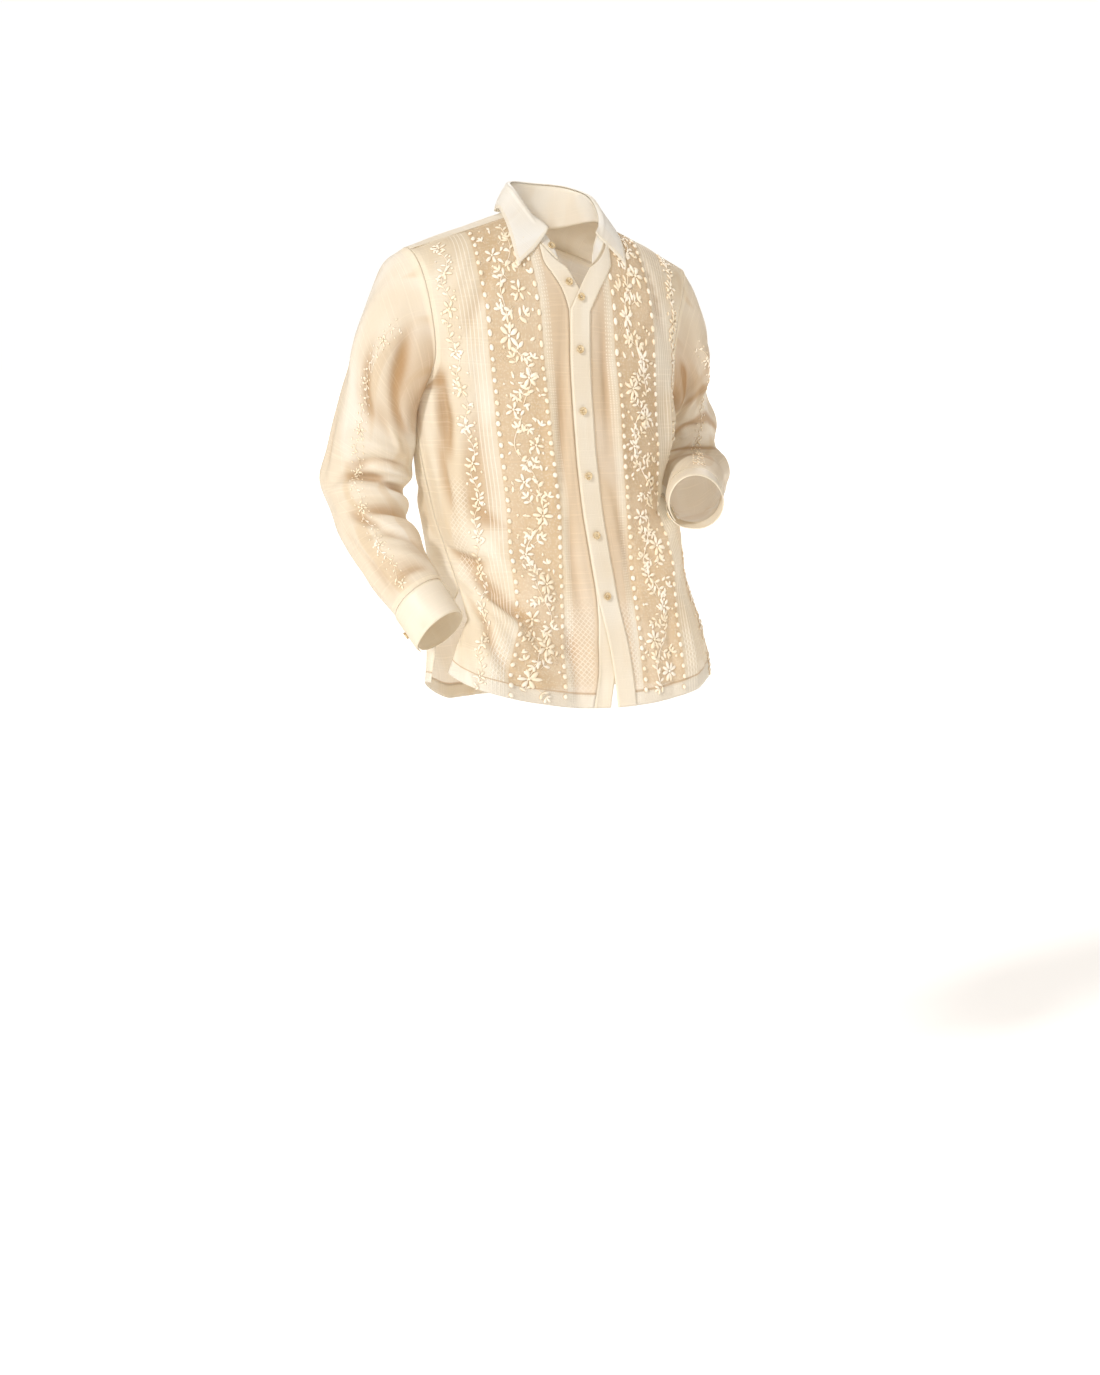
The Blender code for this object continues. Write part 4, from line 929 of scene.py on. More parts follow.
# %% Sleeve rails
CUFF_LENGTH = 0.058
CUFF_GIRTH = 0.253
LAST_STATION = 9.0       # where the sleeve meets the cuff
LAP_FROM = 0.88          # the share of the cuff's turn at which its overlap starts
CUFF_START = {-1: 0.47, 1: 0.88}
CUFF_LAP = 0.07
RIGHT_SLEEVE = metres({
    "out_x": (-222, -246, -265, -281, -301, -315, -310, -298, -284, -264),
    "out_y": (0, 32, 49, 65, 79, 81, 57, 24, -12, -46),
    "out_z": (-48, -75, -140, -208, -288, -365, -429, -474, -516, -553),
    "in_x": (-206, -206, -208, -207, -209, -215, -219, -215, -209, -207),
    "in_y": (0, -12, -8, 5, 18, 23, 9, -17, -47, -70),
    "in_z": (-242, -267, -293, -321, -353, -384, -414, -445, -475, -501),
    "front": (78, 74, 69, 64, 60, 56, 54, 51, 46, 40),
    "back": (66, 66, 65, 63, 62, 60, 56, 50, 45, 40),
})
LEFT_SLEEVE = metres({
    "out_x": (222, 245, 264, 290, 319, 330, 309, 281, 248, 214),
    "out_y": (0, 10, 25, 40, 63, 68, 14, -34, -84, -133),
    "out_z": (-76, -112, -185, -262, -318, -360, -373, -381, -388, -394),
    "in_x": (207, 207, 205, 208, 222, 236, 212, 188, 165, 141),
    "in_y": (0, 10, 34, 60, 90, 108, 62, 12, -42, -97),
    "in_z": (-264, -268, -288, -304, -338, -370, -376, -382, -388, -394),
    "front": (78, 74, 68, 62, 54, 42, 46, 48, 46, 41),
    "back": (66, 66, 64, 64, 66, 70, 62, 54, 48, 41),
})


print("rails of", len(RIGHT_SLEEVE["front"]), "stations")

# %% [markdown]
# Folds crowd at the inside of a bent elbow and above the cuff, and spread out along the back of
# the arm. They are placed by turn (0 inner, 0.25 front, 0.5 outer) and station.

# %% Sleeve folds
# the broad folds of the solids: station, side (0 inner, 0.25 front, 0.5 outer), reach round the
# arm, slant, depth in metres and width in stations
RIGHT_FOLDS = (
    (2.6, 0.2, 0.2, 1.6, -0.005, 0.55), (4.2, 0.06, 0.28, -1, 0.009, 0.36),
    (4.85, 0.08, 0.25, -0.8, -0.01, 0.32), (5.5, 0.05, 0.26, -0.5, 0.009, 0.32),
    (6.15, 0.08, 0.25, -0.4, -0.009, 0.32), (6.9, 0.06, 0.24, 0.6, 0.007, 0.38),
    (7.7, 0.1, 0.24, 0.9, -0.006, 0.38), (5, 0.5, 0.22, 0.5, 0.005, 0.45),
    (3.4, 0.85, 0.25, 1.2, -0.005, 0.55),
)
LEFT_FOLDS = (
    (2.4, 0.3, 0.22, 1.2, -0.006, 0.5), (3.4, 0.35, 0.24, -0.9, 0.007, 0.38),
    (4.1, 0.28, 0.26, 0.8, -0.008, 0.3), (4.7, 0.3, 0.24, -0.6, 0.008, 0.28),
    (5.3, 0.25, 0.26, 0.5, -0.008, 0.28), (6.1, 0.45, 0.28, 0.7, 0.007, 0.36),
    (7, 0.3, 0.26, -0.6, -0.006, 0.34), (3, 0.75, 0.25, 1, -0.006, 0.5),
    (4.9, 0.55, 0.22, -0.5, 0.007, 0.4),
)
# finer creases: start, middle and end as (turn, station), depth in metres, width in turns
RIGHT_CREASES = np.array([
    (0.3, 4.6, 0.18, 3.7, 0.02, 4, -0.012, 0.03), (0.34, 4.2, 0.2, 3.3, 0.06, 3.4, 0.007, 0.032),
    (0.4, 5.2, 0.28, 4.8, 0.15, 4.7, -0.009, 0.028), (0.2, 4.9, 0.12, 4.5, 0, 4.7, 0.006, 0.026),
    (0.16, 5.2, 0.08, 5, -0.02, 5.3, -0.007, 0.026),
    (0.42, 5.9, 0.26, 5.5, 0.08, 5.8, 0.0056, 0.028),
    (0.34, 6, 0.27, 6.6, 0.18, 7.2, -0.007, 0.027),
    (0.24, 6.1, 0.14, 6.3, 0.02, 6.4, -0.0056, 0.026),
    (0.32, 6.9, 0.2, 7.1, 0.06, 7.5, -0.007, 0.026),
    (0.34, 7.4, 0.22, 7.6, 0.08, 7.9, 0.005, 0.024),
    (0.33, 8.2, 0.22, 7.9, 0.06, 8.2, -0.006, 0.022),
    (0.29, 0.5, 0.2, 1.4, 0.06, 2.6, -0.01, 0.036),
    (0.32, 1.4, 0.26, 2.2, 0.25, 3.2, -0.0064, 0.03),
    (0.4, 1, 0.36, 2.4, 0.36, 3.8, 0.005, 0.034), (0.15, 2.6, 0.12, 3, 0.1, 3.4, 0.006, 0.028),
    (0.42, 3.6, 0.46, 4.6, 0.4, 5.6, -0.005, 0.03),
    (0.44, 5, 0.38, 5.8, 0.34, 6.8, 0.0044, 0.028),
    (0.42, 6.4, 0.38, 7.2, 0.34, 8.3, -0.0044, 0.024),
    (0.48, 6.8, 0.44, 7.6, 0.42, 8.4, 0.0026, 0.022),
    (0.56, 1.6, 0.6, 3, 0.58, 4.4, 0.0034, 0.034),
    (0.66, 1.2, 0.7, 2.6, 0.74, 3.8, -0.0036, 0.032),
    (0.78, 1.4, 0.8, 2.6, 0.9, 3.6, 0.0036, 0.03),
    (0.96, 3.8, 0.84, 4.4, 0.72, 4.6, -0.004, 0.028),
    (0.98, 4.6, 0.86, 5.1, 0.7, 5.4, 0.0042, 0.028),
    (0.96, 5.6, 0.84, 5.9, 0.7, 6.2, -0.0036, 0.026),
    (0.94, 6.6, 0.82, 6.9, 0.72, 7.3, 0.0034, 0.026),
    (0.62, 5.6, 0.64, 6.6, 0.62, 7.8, -0.003, 0.028),
    (0.54, 7.2, 0.56, 7.8, 0.55, 8.5, 0.0024, 0.02),
])
LEFT_CREASES = np.array([
    (0.22, 0.4, 0.14, 1.3, 0.1, 2.4, -0.01, 0.034),
    (0.3, 0.9, 0.26, 1.8, 0.22, 2.4, 0.0056, 0.03), (0.36, 1, 0.4, 2.2, 0.38, 3.2, -0.005, 0.03),
    (0.1, 2.6, 0.24, 2.9, 0.38, 3.5, -0.0096, 0.03),
    (0.14, 3.4, 0.28, 3.4, 0.44, 4, 0.0064, 0.028),
    (0.12, 3.9, 0.26, 4, 0.42, 4.4, -0.008, 0.026),
    (0.16, 4.6, 0.28, 4.7, 0.42, 5.1, 0.0056, 0.026),
    (0.14, 5.2, 0.28, 5.4, 0.4, 5.5, -0.0064, 0.026),
    (0.16, 6, 0.26, 6.3, 0.42, 6.4, 0.0036, 0.026), (0.2, 6.9, 0.3, 7, 0.42, 7.4, -0.0034, 0.024),
    (0.46, 3.8, 0.54, 4.6, 0.56, 5.4, -0.004, 0.028),
    (0.6, 3.4, 0.62, 4.6, 0.58, 5.8, 0.004, 0.028),
    (0.56, 5.8, 0.5, 6.8, 0.48, 8.2, -0.0032, 0.024),
    (0.66, 5.4, 0.62, 6.8, 0.6, 8.3, 0.003, 0.024),
    (0.7, 1.2, 0.74, 2.4, 0.72, 3.6, -0.0036, 0.03),
    (0.8, 1.4, 0.86, 2.6, 0.84, 3.8, 0.0036, 0.03),
    (0.76, 4, 0.88, 4.6, 0.98, 4.7, -0.0036, 0.028),
    (0.74, 5, 0.86, 5.4, 0.96, 5.8, 0.0036, 0.028),
    (0.92, 6.4, 0.84, 7.2, 0.82, 8.2, -0.0028, 0.024),
    (0.04, 6.6, 0.06, 7.4, 0.04, 8.3, 0.0028, 0.024),
])
TURNS_PER_STATION = 0.16     # puts stations and turns on one scale for the strokes


def sleeve_folds(folds, creases, station, turn):
    """How far a sleeve's folds move its cloth out."""
    total = np.zeros(np.broadcast(station, turn).shape)
    for at, facing, reach, slant, depth, width in folds:
        away = (turn - facing + 0.5) % 1 - 0.5
        along = station - at - slant * away
        total += depth * np.exp(-((along / width) ** 2) - (away / reach) ** 2)
    strokes = creases.copy()
    strokes[:, 1:6:2] *= TURNS_PER_STATION
    for whole in (-1, 0, 1):
        moved = strokes.copy()
        moved[:, 0:6:2] += whole
        total += stroke_height(np.asarray(turn, float), station * TURNS_PER_STATION, moved)
    a = turn * 2 * math.pi
    total += 0.0005 * (np.sin(2 * a + station * 3.1) + np.sin(3 * a - station * 4.3 + 1.0)
                       + np.sin(a + station * 6.7 + 2.0))
    # the inner side of the arm is short, so folds that reach it lie close and stay low there
    total *= 1 - 0.50 * np.exp(-(((turn + 0.5) % 1 - 0.5) / 0.09) ** 2)
    return total * smooth(station, 0.25, 1.4) * smooth(-station, -LAST_STATION, -8.3)


print(len(RIGHT_CREASES) + len(LEFT_CREASES), "creases on the sleeves")

# %% [markdown]
# The first ring of a sleeve is the armhole's own edge, so that the two meet all the way round.
# The other rings hang between the rails, and the last one fits the cuff, which goes on in the
# direction of the forearm.

# %% Rings of a sleeve
ARMHOLE_STEP = 0.006


def armhole_ring(side):
    """The armhole's edge, up the front, over the ridge and down the back, with each point's
    share of the way round (0.5 at the ridge)."""
    low = (ARMPIT, -0.241, -0.222, CHEST)
    front = finer(low + front_rows(side) + (RIDGE,), ARMHOLE_STEP)
    back = (RIDGE,) + (YOKE_BACK + 0.06, YOKE_BACK + 0.03) + BACK_TOP_ROWS[::-1] + low[::-1]
    halves = []
    for heights, is_back in ((front, False), (finer(back, ARMHOLE_STEP), True)):
        heights = np.array(heights)
        points = torso(side * armhole_angle(heights), heights, is_back)
        steps = walked(points)
        halves.append((posed(points), steps / steps[-1] / 2 + (0.5 if is_back else 0)))
    points = np.concatenate([halves[0][0], halves[1][0][1:]])
    shares = np.concatenate([halves[0][1], halves[1][1][1:]])
    # read it again at even shares, with its two ends at the same armpit point
    even = np.linspace(0, 1, 113)
    ring = np.stack([np.interp(even, shares, points[:, axis]) for axis in range(3)], -1)
    ring[-1] = ring[0]
    return ring, even


def rail_frame(rails, station, side):
    """Centre, inner-to-outer half vector, front vector and direction of a sleeve at a station."""
    keys = np.arange(len(rails["front"]))

    def read(name, at):
        return np.stack([through(keys, rails[f"{name}_{axis}"], at) for axis in "xyz"], -1)

    centre = (read("out", station) + read("in", station)) / 2
    half = (read("out", station) - read("in", station)) / 2
    ahead = np.minimum(station + 0.15, keys[-1])
    behind = ahead - 0.3
    run = (read("out", ahead) + read("in", ahead) - read("out", behind) - read("in", behind)) / 2
    outwards = np.array([float(side), 0, 0])
    share = smooth(station, 0.0, 2.0)
    run = unit(unit(run) * share[..., None] + outwards * (1 - share[..., None]))
    front = unit(np.cross(half, run)) * -side
    return centre, half, front, run


def rail_ring(rails, station, turn, side):
    """The sleeve's plain tube at a station and a turn (0 inner, 0.25 front, 0.5 outer)."""
    centre, half, front, _ = rail_frame(rails, station, side)
    keys = np.arange(len(rails["front"]))
    ahead = through(keys, rails["front"], station)
    behind = through(keys, rails["back"], station)
    a = turn * 2 * math.pi
    reach = np.where(np.sin(a) > 0, ahead, behind) * np.sin(a)
    return centre - half * np.cos(a)[..., None] + front * reach[..., None]


def cuff_point(rails, distance, turn, side, lift=0.0):
    """A point on the cuff's outer face, `distance` past the sleeve's end."""
    last = np.full(np.shape(turn), len(rails["front"]) - 1.0)
    centre, half, front, run = rail_frame(rails, last, side)
    a = (turn + CUFF_START[side]) * 2 * math.pi
    radius = np.linalg.norm(half, axis=-1)
    lap = (BAND_WALL + 0.0008) * smooth(turn, LAP_FROM, 0.99)
    taper = 1 - 0.03 * np.asarray(distance) / CUFF_LENGTH
    ring = -unit(half) * np.cos(a)[..., None] + front * np.sin(a)[..., None]
    size = (radius * taper + lap + lift)[..., None]
    return centre + run * np.asarray(distance)[..., None] + ring * size


print("armhole", round(float(walked(armhole_ring(1)[0])[-1]), 3), "m round")

# %% [markdown]
# A sleeve presses against the body, so its points are moved out where they would pass through
# the front or the back. At a sharp bend of the elbow the rings would cross, and the tube would
# run back on itself: such a loop is cut off, as a real sleeve's cloth folds into one crease.

# %% Sleeves
LOOP_RATIO = 3           # a loop is this many times as long as the gap that it closes
CREASE_ROWS = 7


def clear_of_body(points, side):
    """Moves a sleeve's points out of the body of the shirt, so that it only just clears it."""
    x, y, z = points[..., 0], points[..., 1], points[..., 2]
    sway_x = through(SWAY["level"], SWAY["x"], z)
    sway_y = through(SWAY["level"], SWAY["y"], z)
    level = np.minimum(z, CHEST)
    width = through(TORSO["level"], TORSO["half_width"], level)
    front = through(TORSO["level"], TORSO["front"], level)
    back = through(TORSO["level"], TORSO["back"], level)
    if side > 0:
        press = np.exp(-(((z - ELBOW_PRESS["level"]) / ELBOW_PRESS["height"]) ** 2))
        width = width - ELBOW_PRESS["in"] * press * 0.8
    depth = np.where(y < sway_y, front, back)
    inside = np.clip(np.abs(y - sway_y) / depth, 0, 1) ** SQUARENESS
    limit = width * np.clip(1 - inside, 0, 1) ** (1 / SQUARENESS) + 0.0035
    distance = side * (x - sway_x)
    needed = np.maximum(limit - distance, 0) * (1 - smooth(z, CHEST, CHEST + 0.05))
    return np.stack([sway_x + side * (distance + needed), y, z], -1)


def without_loops(grid):
    """Cuts off each loop that a bent tube's rings make where they would cross at the inside of
    the bend, and softens the crease that is left."""
    made = grid.copy()
    cut = np.zeros(grid.shape[:2])
    places = np.arange(len(grid))
    for column in range(grid.shape[1]):
        path = grid[:, column]
        way = walked(path)
        gaps = np.linalg.norm(path[:, None] - path[None], axis=2)
        saved = way[None] - way[:, None] - LOOP_RATIO * gaps
        start, end = np.unravel_index(np.argmax(saved), saved.shape)
        if saved[start, end] > 0:
            kept = np.concatenate([path[:start + 1], path[end:]])
            length = walked(kept)
            at = way / way[-1] * length[-1]
            made[:, column] = np.stack([np.interp(at, length, kept[:, axis])
                                        for axis in range(3)], -1)
            middle = length[start] / length[-1] * (len(grid) - 1)
            cut[:, column] = np.exp(-((places - middle) / CREASE_ROWS) ** 2)
    for _ in range(6):
        around = made.copy()
        around[1:-1, 1:-1] = (made[:-2, 1:-1] + made[2:, 1:-1]
                              + made[1:-1, :-2] + made[1:-1, 2:]) / 4
        made += (around - made) * cut[..., None]
    print("loops cut in", int((cut.max(axis=0) > 0).sum()), "of", grid.shape[1], "columns")
    return made


def girth_of(grid):
    """The way round each ring of a sleeve."""
    return np.linalg.norm(np.diff(grid, axis=1), axis=2).sum(axis=1)


def sleeve_points(rails, folds, creases, side, stations):
    """The sleeve's outer face, from the armhole's ring to the cuff's."""
    edge, shares = armhole_ring(side)
    station, turn = np.meshgrid(stations, shares, indexing="ij")
    plain = rail_ring(rails, station, turn, side)
    first = rail_ring(rails, np.zeros_like(shares), shares, side)
    left_over = edge + np.array([side * SEAM, 0, 0]) - first
    fade = 1 - smooth(stations, 0.0, 3.2)
    plain = plain + left_over[None] * fade[:, None, None]
    middle = plain[:, :-1].mean(axis=1, keepdims=True)
    out = unit(plain - middle)
    grid = plain + out * sleeve_folds(folds, creases, station, turn)[..., None]
    held = clear_of_body(grid, side)
    grid = grid + (held - grid) * smooth(station, 0.0, 0.5)[..., None]
    turns = (shares - CUFF_START[side]) % 1.0
    last = cuff_point(rails, np.full(shares.shape, -SEAM), np.minimum(turns, LAP_FROM), side)
    free = turns > LAP_FROM
    last[free] = cuff_point(rails, np.full(free.sum(), -SEAM), turns[free] - 1.0, side)
    near = smooth(stations, 7.4, LAST_STATION)[:, None, None]
    grid = grid * (1 - near) + last[None] * near
    return without_loops(grid), shares


stations = np.linspace(0, LAST_STATION, 118)
for side, name, rails, folds, creases in (
        (-1, "right", RIGHT_SLEEVE, RIGHT_FOLDS, RIGHT_CREASES),
        (1, "left", LEFT_SLEEVE, LEFT_FOLDS, LEFT_CREASES)):
    grid, shares = sleeve_points(rails, folds, creases, side, stations)
    girth = girth_of(grid)
    width = girth[:, None]
    along = walked(grid.mean(axis=1))
    across = (shares[None, :] - 0.5) * width
    drop = np.broadcast_to(along[:, None], across.shape)
    station, turn = np.meshgrid(stations, shares, indexing="ij")
    # painted shade: tan in the troughs of the sleeve's folds and in its armpit
    masks = {"doubled": near_edge(ALLOWANCE, drop, along[-1] - drop),
             "sunk": sunk(sleeve_folds(folds, creases, station, turn))
                     + painted_armpit_shade(((turn + 0.5) % 1 - 0.5) * width * 0.20, -drop * 0.7)}
    cloth("sleeve_" + name + "_cloth", grid, (across, -drop), closed=True, inward=side > 0,
          masks=masks)
    print("sleeve", name, round(float(along[-1]), 3), "m long, girth",
          round(float(girth[0]), 3), "to", round(float(girth[-1]), 3), "m")

# %% [markdown]
# A cuff is a stiff band that laps over itself and buttons. Its edges are turned under, so they
# are soft and a little thicker, and its face bows out slightly between them.

# %% Cuffs
for side, name, rails in ((-1, "right", RIGHT_SLEEVE), (1, "left", LEFT_SLEEVE)):
    distance, turn = np.meshgrid(np.linspace(0, CUFF_LENGTH, 20),
                                 np.linspace(0, 1 + CUFF_LAP, 130), indexing="ij")
    rim = np.minimum(distance, CUFF_LENGTH - distance)
    lift = -0.0007 * (1 - smooth(rim, 0, 0.0030)) + 0.0005 * np.sin(
        np.pi * distance / CUFF_LENGTH) + 0.0006 * np.sin(turn * 17 + distance * 40)
    plan = (turn * CUFF_GIRTH, -distance)
    ends = np.minimum(turn, 1 + CUFF_LAP - turn) * CUFF_GIRTH
    cloth("cuff_" + name + "_band", cuff_point(rails, distance, turn, side, lift), plan,
          ply=STIFF_PLY, inward=side > 0, masks={"doubled": near_edge(0.0035, rim, ends)})
print("cuffs", round(CUFF_LENGTH * 1000), "mm deep")

# %% [markdown]
# The collar has two pieces: a stand that circles the neck and a leaf that folds over it and
# falls to two points. The fold line and the leaf's edge are two curves round the neck, and the
# cloth between them rolls over in a tight round bend and then falls almost flat.

# %% Lines of the collar
COLLAR = {
    "turn": (-158, -120, -90, -50, 0, 50, 90, 120, 160),
    "top_x": (-0.030, -0.048, -0.055, -0.046, 0.002, 0.050, 0.062, 0.059, 0.031),
    "top_y": (-0.070, -0.040, -0.008, 0.032, 0.053, 0.032, -0.010, -0.040, -0.076),
    "top_z": (-0.038, -0.002, 0.027, 0.043, 0.046, 0.043, 0.028, 0.000, -0.044),
    "fall_x": (-0.092, -0.091, -0.081, -0.058, 0.002, 0.062, 0.085, 0.090, 0.080),
    "fall_y": (-0.100, -0.052, -0.006, 0.054, 0.080, 0.054, -0.006, -0.050, -0.100),
    "fall_z": (-0.083, -0.030, 0.003, 0.004, 0.004, 0.004, 0.003, -0.030, -0.086),
}
STAND_TURN = (-158.0, 161.0)
LEAF_TURN = (-150.0, 146.0)


def neck_point(turn):
    """A point of the neck hole's edge: 0 at the centre back, +-180 degrees at the front."""
    points = []
    for a in np.radians(np.atleast_1d(turn)):
        on_back = abs(a) <= math.pi / 2
        low = NECK_BACK if on_back else NECK_FRONT
        h = RIDGE - (RIDGE - low) * abs(math.cos(a))
        points.append(torso(angle_of_x(np.float64(NECK_HALF * math.sin(a)), h), h, on_back))
    return np.array(points)


def collar_line(name, turn):
    return np.stack([through(COLLAR["turn"], COLLAR[f"{name}_{axis}"], turn) for axis in "xyz"],
                    -1)


def stand_point(turns, share):
    """A point of the stand's outer face: share is 0 at its seam and 1 at its top edge."""
    base, top = neck_point(turns), collar_line("top", turns)
    end = np.minimum(turns - STAND_TURN[0], STAND_TURN[1] - turns)
    drop = 1 - 0.30 * (1 - smooth(end, 0.0, 9.0))
    on_bands = 0.0006 * smooth(-turns, 125, 140) + 0.0016 * smooth(turns, 125, 140)
    held = 1 - smooth(np.abs(turns), 95, 120)        # the seam's allowance, inside the yoke
    start = unit(top - base) * (SEAM + WALL * 0.6 + on_bands - 0.0032 * held)[:, None]
    return base + start + (top - base - start) * (share * drop)[:, None]


def above_shoulder(points, gap):
    """Lifts points that are less than `gap` above the shoulders and the chest."""
    x, y, z = points[..., 0], points[..., 1], points[..., 2]
    depth = np.where(y < 0, TORSO["front"][-1], TORSO["back"][-1])
    out = depth * np.clip(1 - (np.abs(x) / (CHEST_HALF + 0.02)) ** SQUARENESS, 0.01, 1) ** (
        1 / SQUARENESS)
    cosine = np.clip(np.abs(y) / out, 0, 0.97)
    sine = np.sqrt(1 - cosine**2)
    top = CHEST + (ridge_height(x) - CHEST) * sine
    steep = np.sqrt(1 + ((ridge_height(x) - CHEST) * cosine / (sine * out)) ** 2)
    inside = np.abs(y) < out * 0.97
    lifted = np.maximum(z, top + gap * np.minimum(steep, 2.2))
    fade = 1 - smooth(np.abs(y) / out, 0.74, 0.95)
    return np.stack([x, y, np.where(inside, z + (lifted - z) * fade, z)], -1)


def arc_plan(grid):
    """A plan of a strip: the way along its middle row, and the way down each column."""
    down = walked(grid)
    return np.broadcast_to(walked(grid[len(grid) // 2]), down.shape), -down


print("neck hole", round(float(walked(neck_point(np.linspace(-180, 180, 73)))[-1]), 3), "m round")

# %% [markdown]
# The stand goes up from the neck hole's edge to the fold. The leaf rolls over it in a small soft
# round, given as a way out and a way up at a few shares of its depth, and then falls straight to
# its edge, kept clear of the shoulders.

# %% Collar
turns = np.linspace(STAND_TURN[0], STAND_TURN[1], 130)
rows = posed(np.array([stand_point(turns, share) for share in np.linspace(0, 1, 12)]))
plan = arc_plan(rows)
rim = np.minimum(-plan[1], np.linalg.norm(rows - rows[-1], axis=-1))
cloth("collar_stand_band", rows, plan, ply=STIFF_PLY, inward=True,
      masks={"doubled": near_edge(0.003, rim)})

ROLL_SHARES = (0.0, 0.03, 0.14, 0.42, 0.72, 1.0)
ROLL_OUT = (0.0, 0.0032, 0.0056, 0.0062, 0.0040, 0.0)
ROLL_UP = (0.0026, 0.0036, 0.0018, 0.0, 0.0, 0.0)
turns = np.linspace(LEAF_TURN[0], LEAF_TURN[1], 140)
fold = collar_line("top", turns)
edge = above_shoulder(collar_line("fall", turns), BAND_WALL + WALL)
away = fold - np.array([0.004, -0.010, 0])
away[:, 2] = 0
away = unit(away)
rows = []
for share in np.concatenate([np.linspace(0, 0.14, 8), np.linspace(0.2, 1, 18)]):
    out, up = (through(ROLL_SHARES, values, share) for values in (ROLL_OUT, ROLL_UP))
    rows.append(fold + (edge - fold) * share + away * out + np.array([0, 0, 1.0]) * up)
leaf = posed(above_shoulder(np.array(rows), BAND_WALL + WALL))
plan = arc_plan(leaf)
rim = np.minimum(np.linalg.norm(leaf - leaf[-1], axis=-1),
                 np.minimum(plan[0], plan[0].max() - plan[0]))
cloth("collar_leaf_band", leaf, plan, ply=LEAF_PLY,
      masks={"doubled": near_edge(0.0045, rim)})
print("collar leaf edge", round(float(plan[0].max()), 3), "m long")

# %% [markdown]
# The fronts' embroidery is calado and padded satin stitch: fine drawn-thread ground, and over it
# flowers, leaves and rows of dots stitched over a soft padding, so that they stand up and catch
# the light. It is made of a few shapes, each modelled once and copied many hundreds of times,
# so each has only a few dozen faces.
# A petal starts as a low sphere. Its under half is pressed flat, one end is drawn in to a point,
# and the other is left round and full.

# %% Model the petal and the dot
def start_primitive(operator, **settings):
    bpy.ops.object.select_all(action="DESELECT")
    operator(**settings)
    return bpy.context.object


def pick(thing, test):
    """Selects, in edit mode, the points for which test(x, y, z) is true, and nothing else."""
    bpy.ops.object.mode_set(mode="EDIT")
    bpy.ops.mesh.select_mode(type="VERT")
    bpy.ops.mesh.select_all(action="DESELECT")
    bpy.ops.object.mode_set(mode="OBJECT")
    for vertex in thing.data.vertices:
        vertex.select = bool(test(*vertex.co))
    bpy.ops.object.mode_set(mode="EDIT")


def template(thing):
    """The points and faces of a finished shape, which is then taken out of the scene."""
    bpy.ops.object.mode_set(mode="OBJECT")
    bpy.context.view_layer.objects.active = thing
    bpy.ops.object.transform_apply(location=True, rotation=True, scale=True)
    points = np.array([v.co for v in thing.data.vertices])
    faces = [tuple(p.vertices) for p in thing.data.polygons]
    bpy.data.objects.remove(thing)
    return points, faces


# the petal: 1 long (y from 0 to 1), 0.5 wide and 0.5 high before it is scaled
petal = start_primitive(bpy.ops.mesh.primitive_uv_sphere_add, segments=8, ring_count=6, radius=0.5,
                        location=(0, 0.5, 0), rotation=(math.pi / 2, 0, 0))
bpy.ops.object.transform_apply(location=True, rotation=True, scale=True)
pick(petal, lambda x, y, z: z < -0.02)
bpy.ops.transform.resize(value=(1, 1, 0.25), center_override=(0, 0.5, 0))
pick(petal, lambda x, y, z: y < 0.36)
bpy.ops.transform.resize(value=(0.78, 1, 0.9), center_override=(0, 0.3, 0))
pick(petal, lambda x, y, z: y < 0.16)
bpy.ops.transform.resize(value=(0.66, 1, 0.8), center_override=(0, 0.1, 0))
bpy.ops.mesh.select_all(action="SELECT")
bpy.ops.transform.resize(value=(0.5, 1, 1), center_override=(0, 0, 0))
bpy.ops.mesh.normals_make_consistent(inside=False)
PETAL = template(petal)

# the dot: 1 across, full on top and flat below, a little longer than wide
dot = start_primitive(bpy.ops.mesh.primitive_uv_sphere_add, segments=8, ring_count=6, radius=0.5)
pick(dot, lambda x, y, z: z < -0.02)
bpy.ops.transform.resize(value=(1, 1, 0.25), center_override=(0, 0, 0))
pick(dot, lambda x, y, z: z > 0.3)
bpy.ops.transform.resize(value=(1.15, 1.15, 0.9), center_override=(0, 0, 0.25))
bpy.ops.mesh.select_all(action="SELECT")
bpy.ops.mesh.normals_make_consistent(inside=False)
DOT = template(dot)
print("petal", len(PETAL[1]), "faces, dot", len(DOT[1]), "faces")

# %% [markdown]
# A motif is drawn on the flat pattern first, in metres along and across its band, as it would be
# pounced on the cloth with chalk: dots down both edges, a vine that winds between them, flowers
# in its bends, leaves and buds on short stalks, and small lattices in the gaps. Each shape is
# one row: where it starts, which way it points, how long, wide and high it is. The places come
# from simple rules with a little seeded chance, so no two flowers are quite alike.

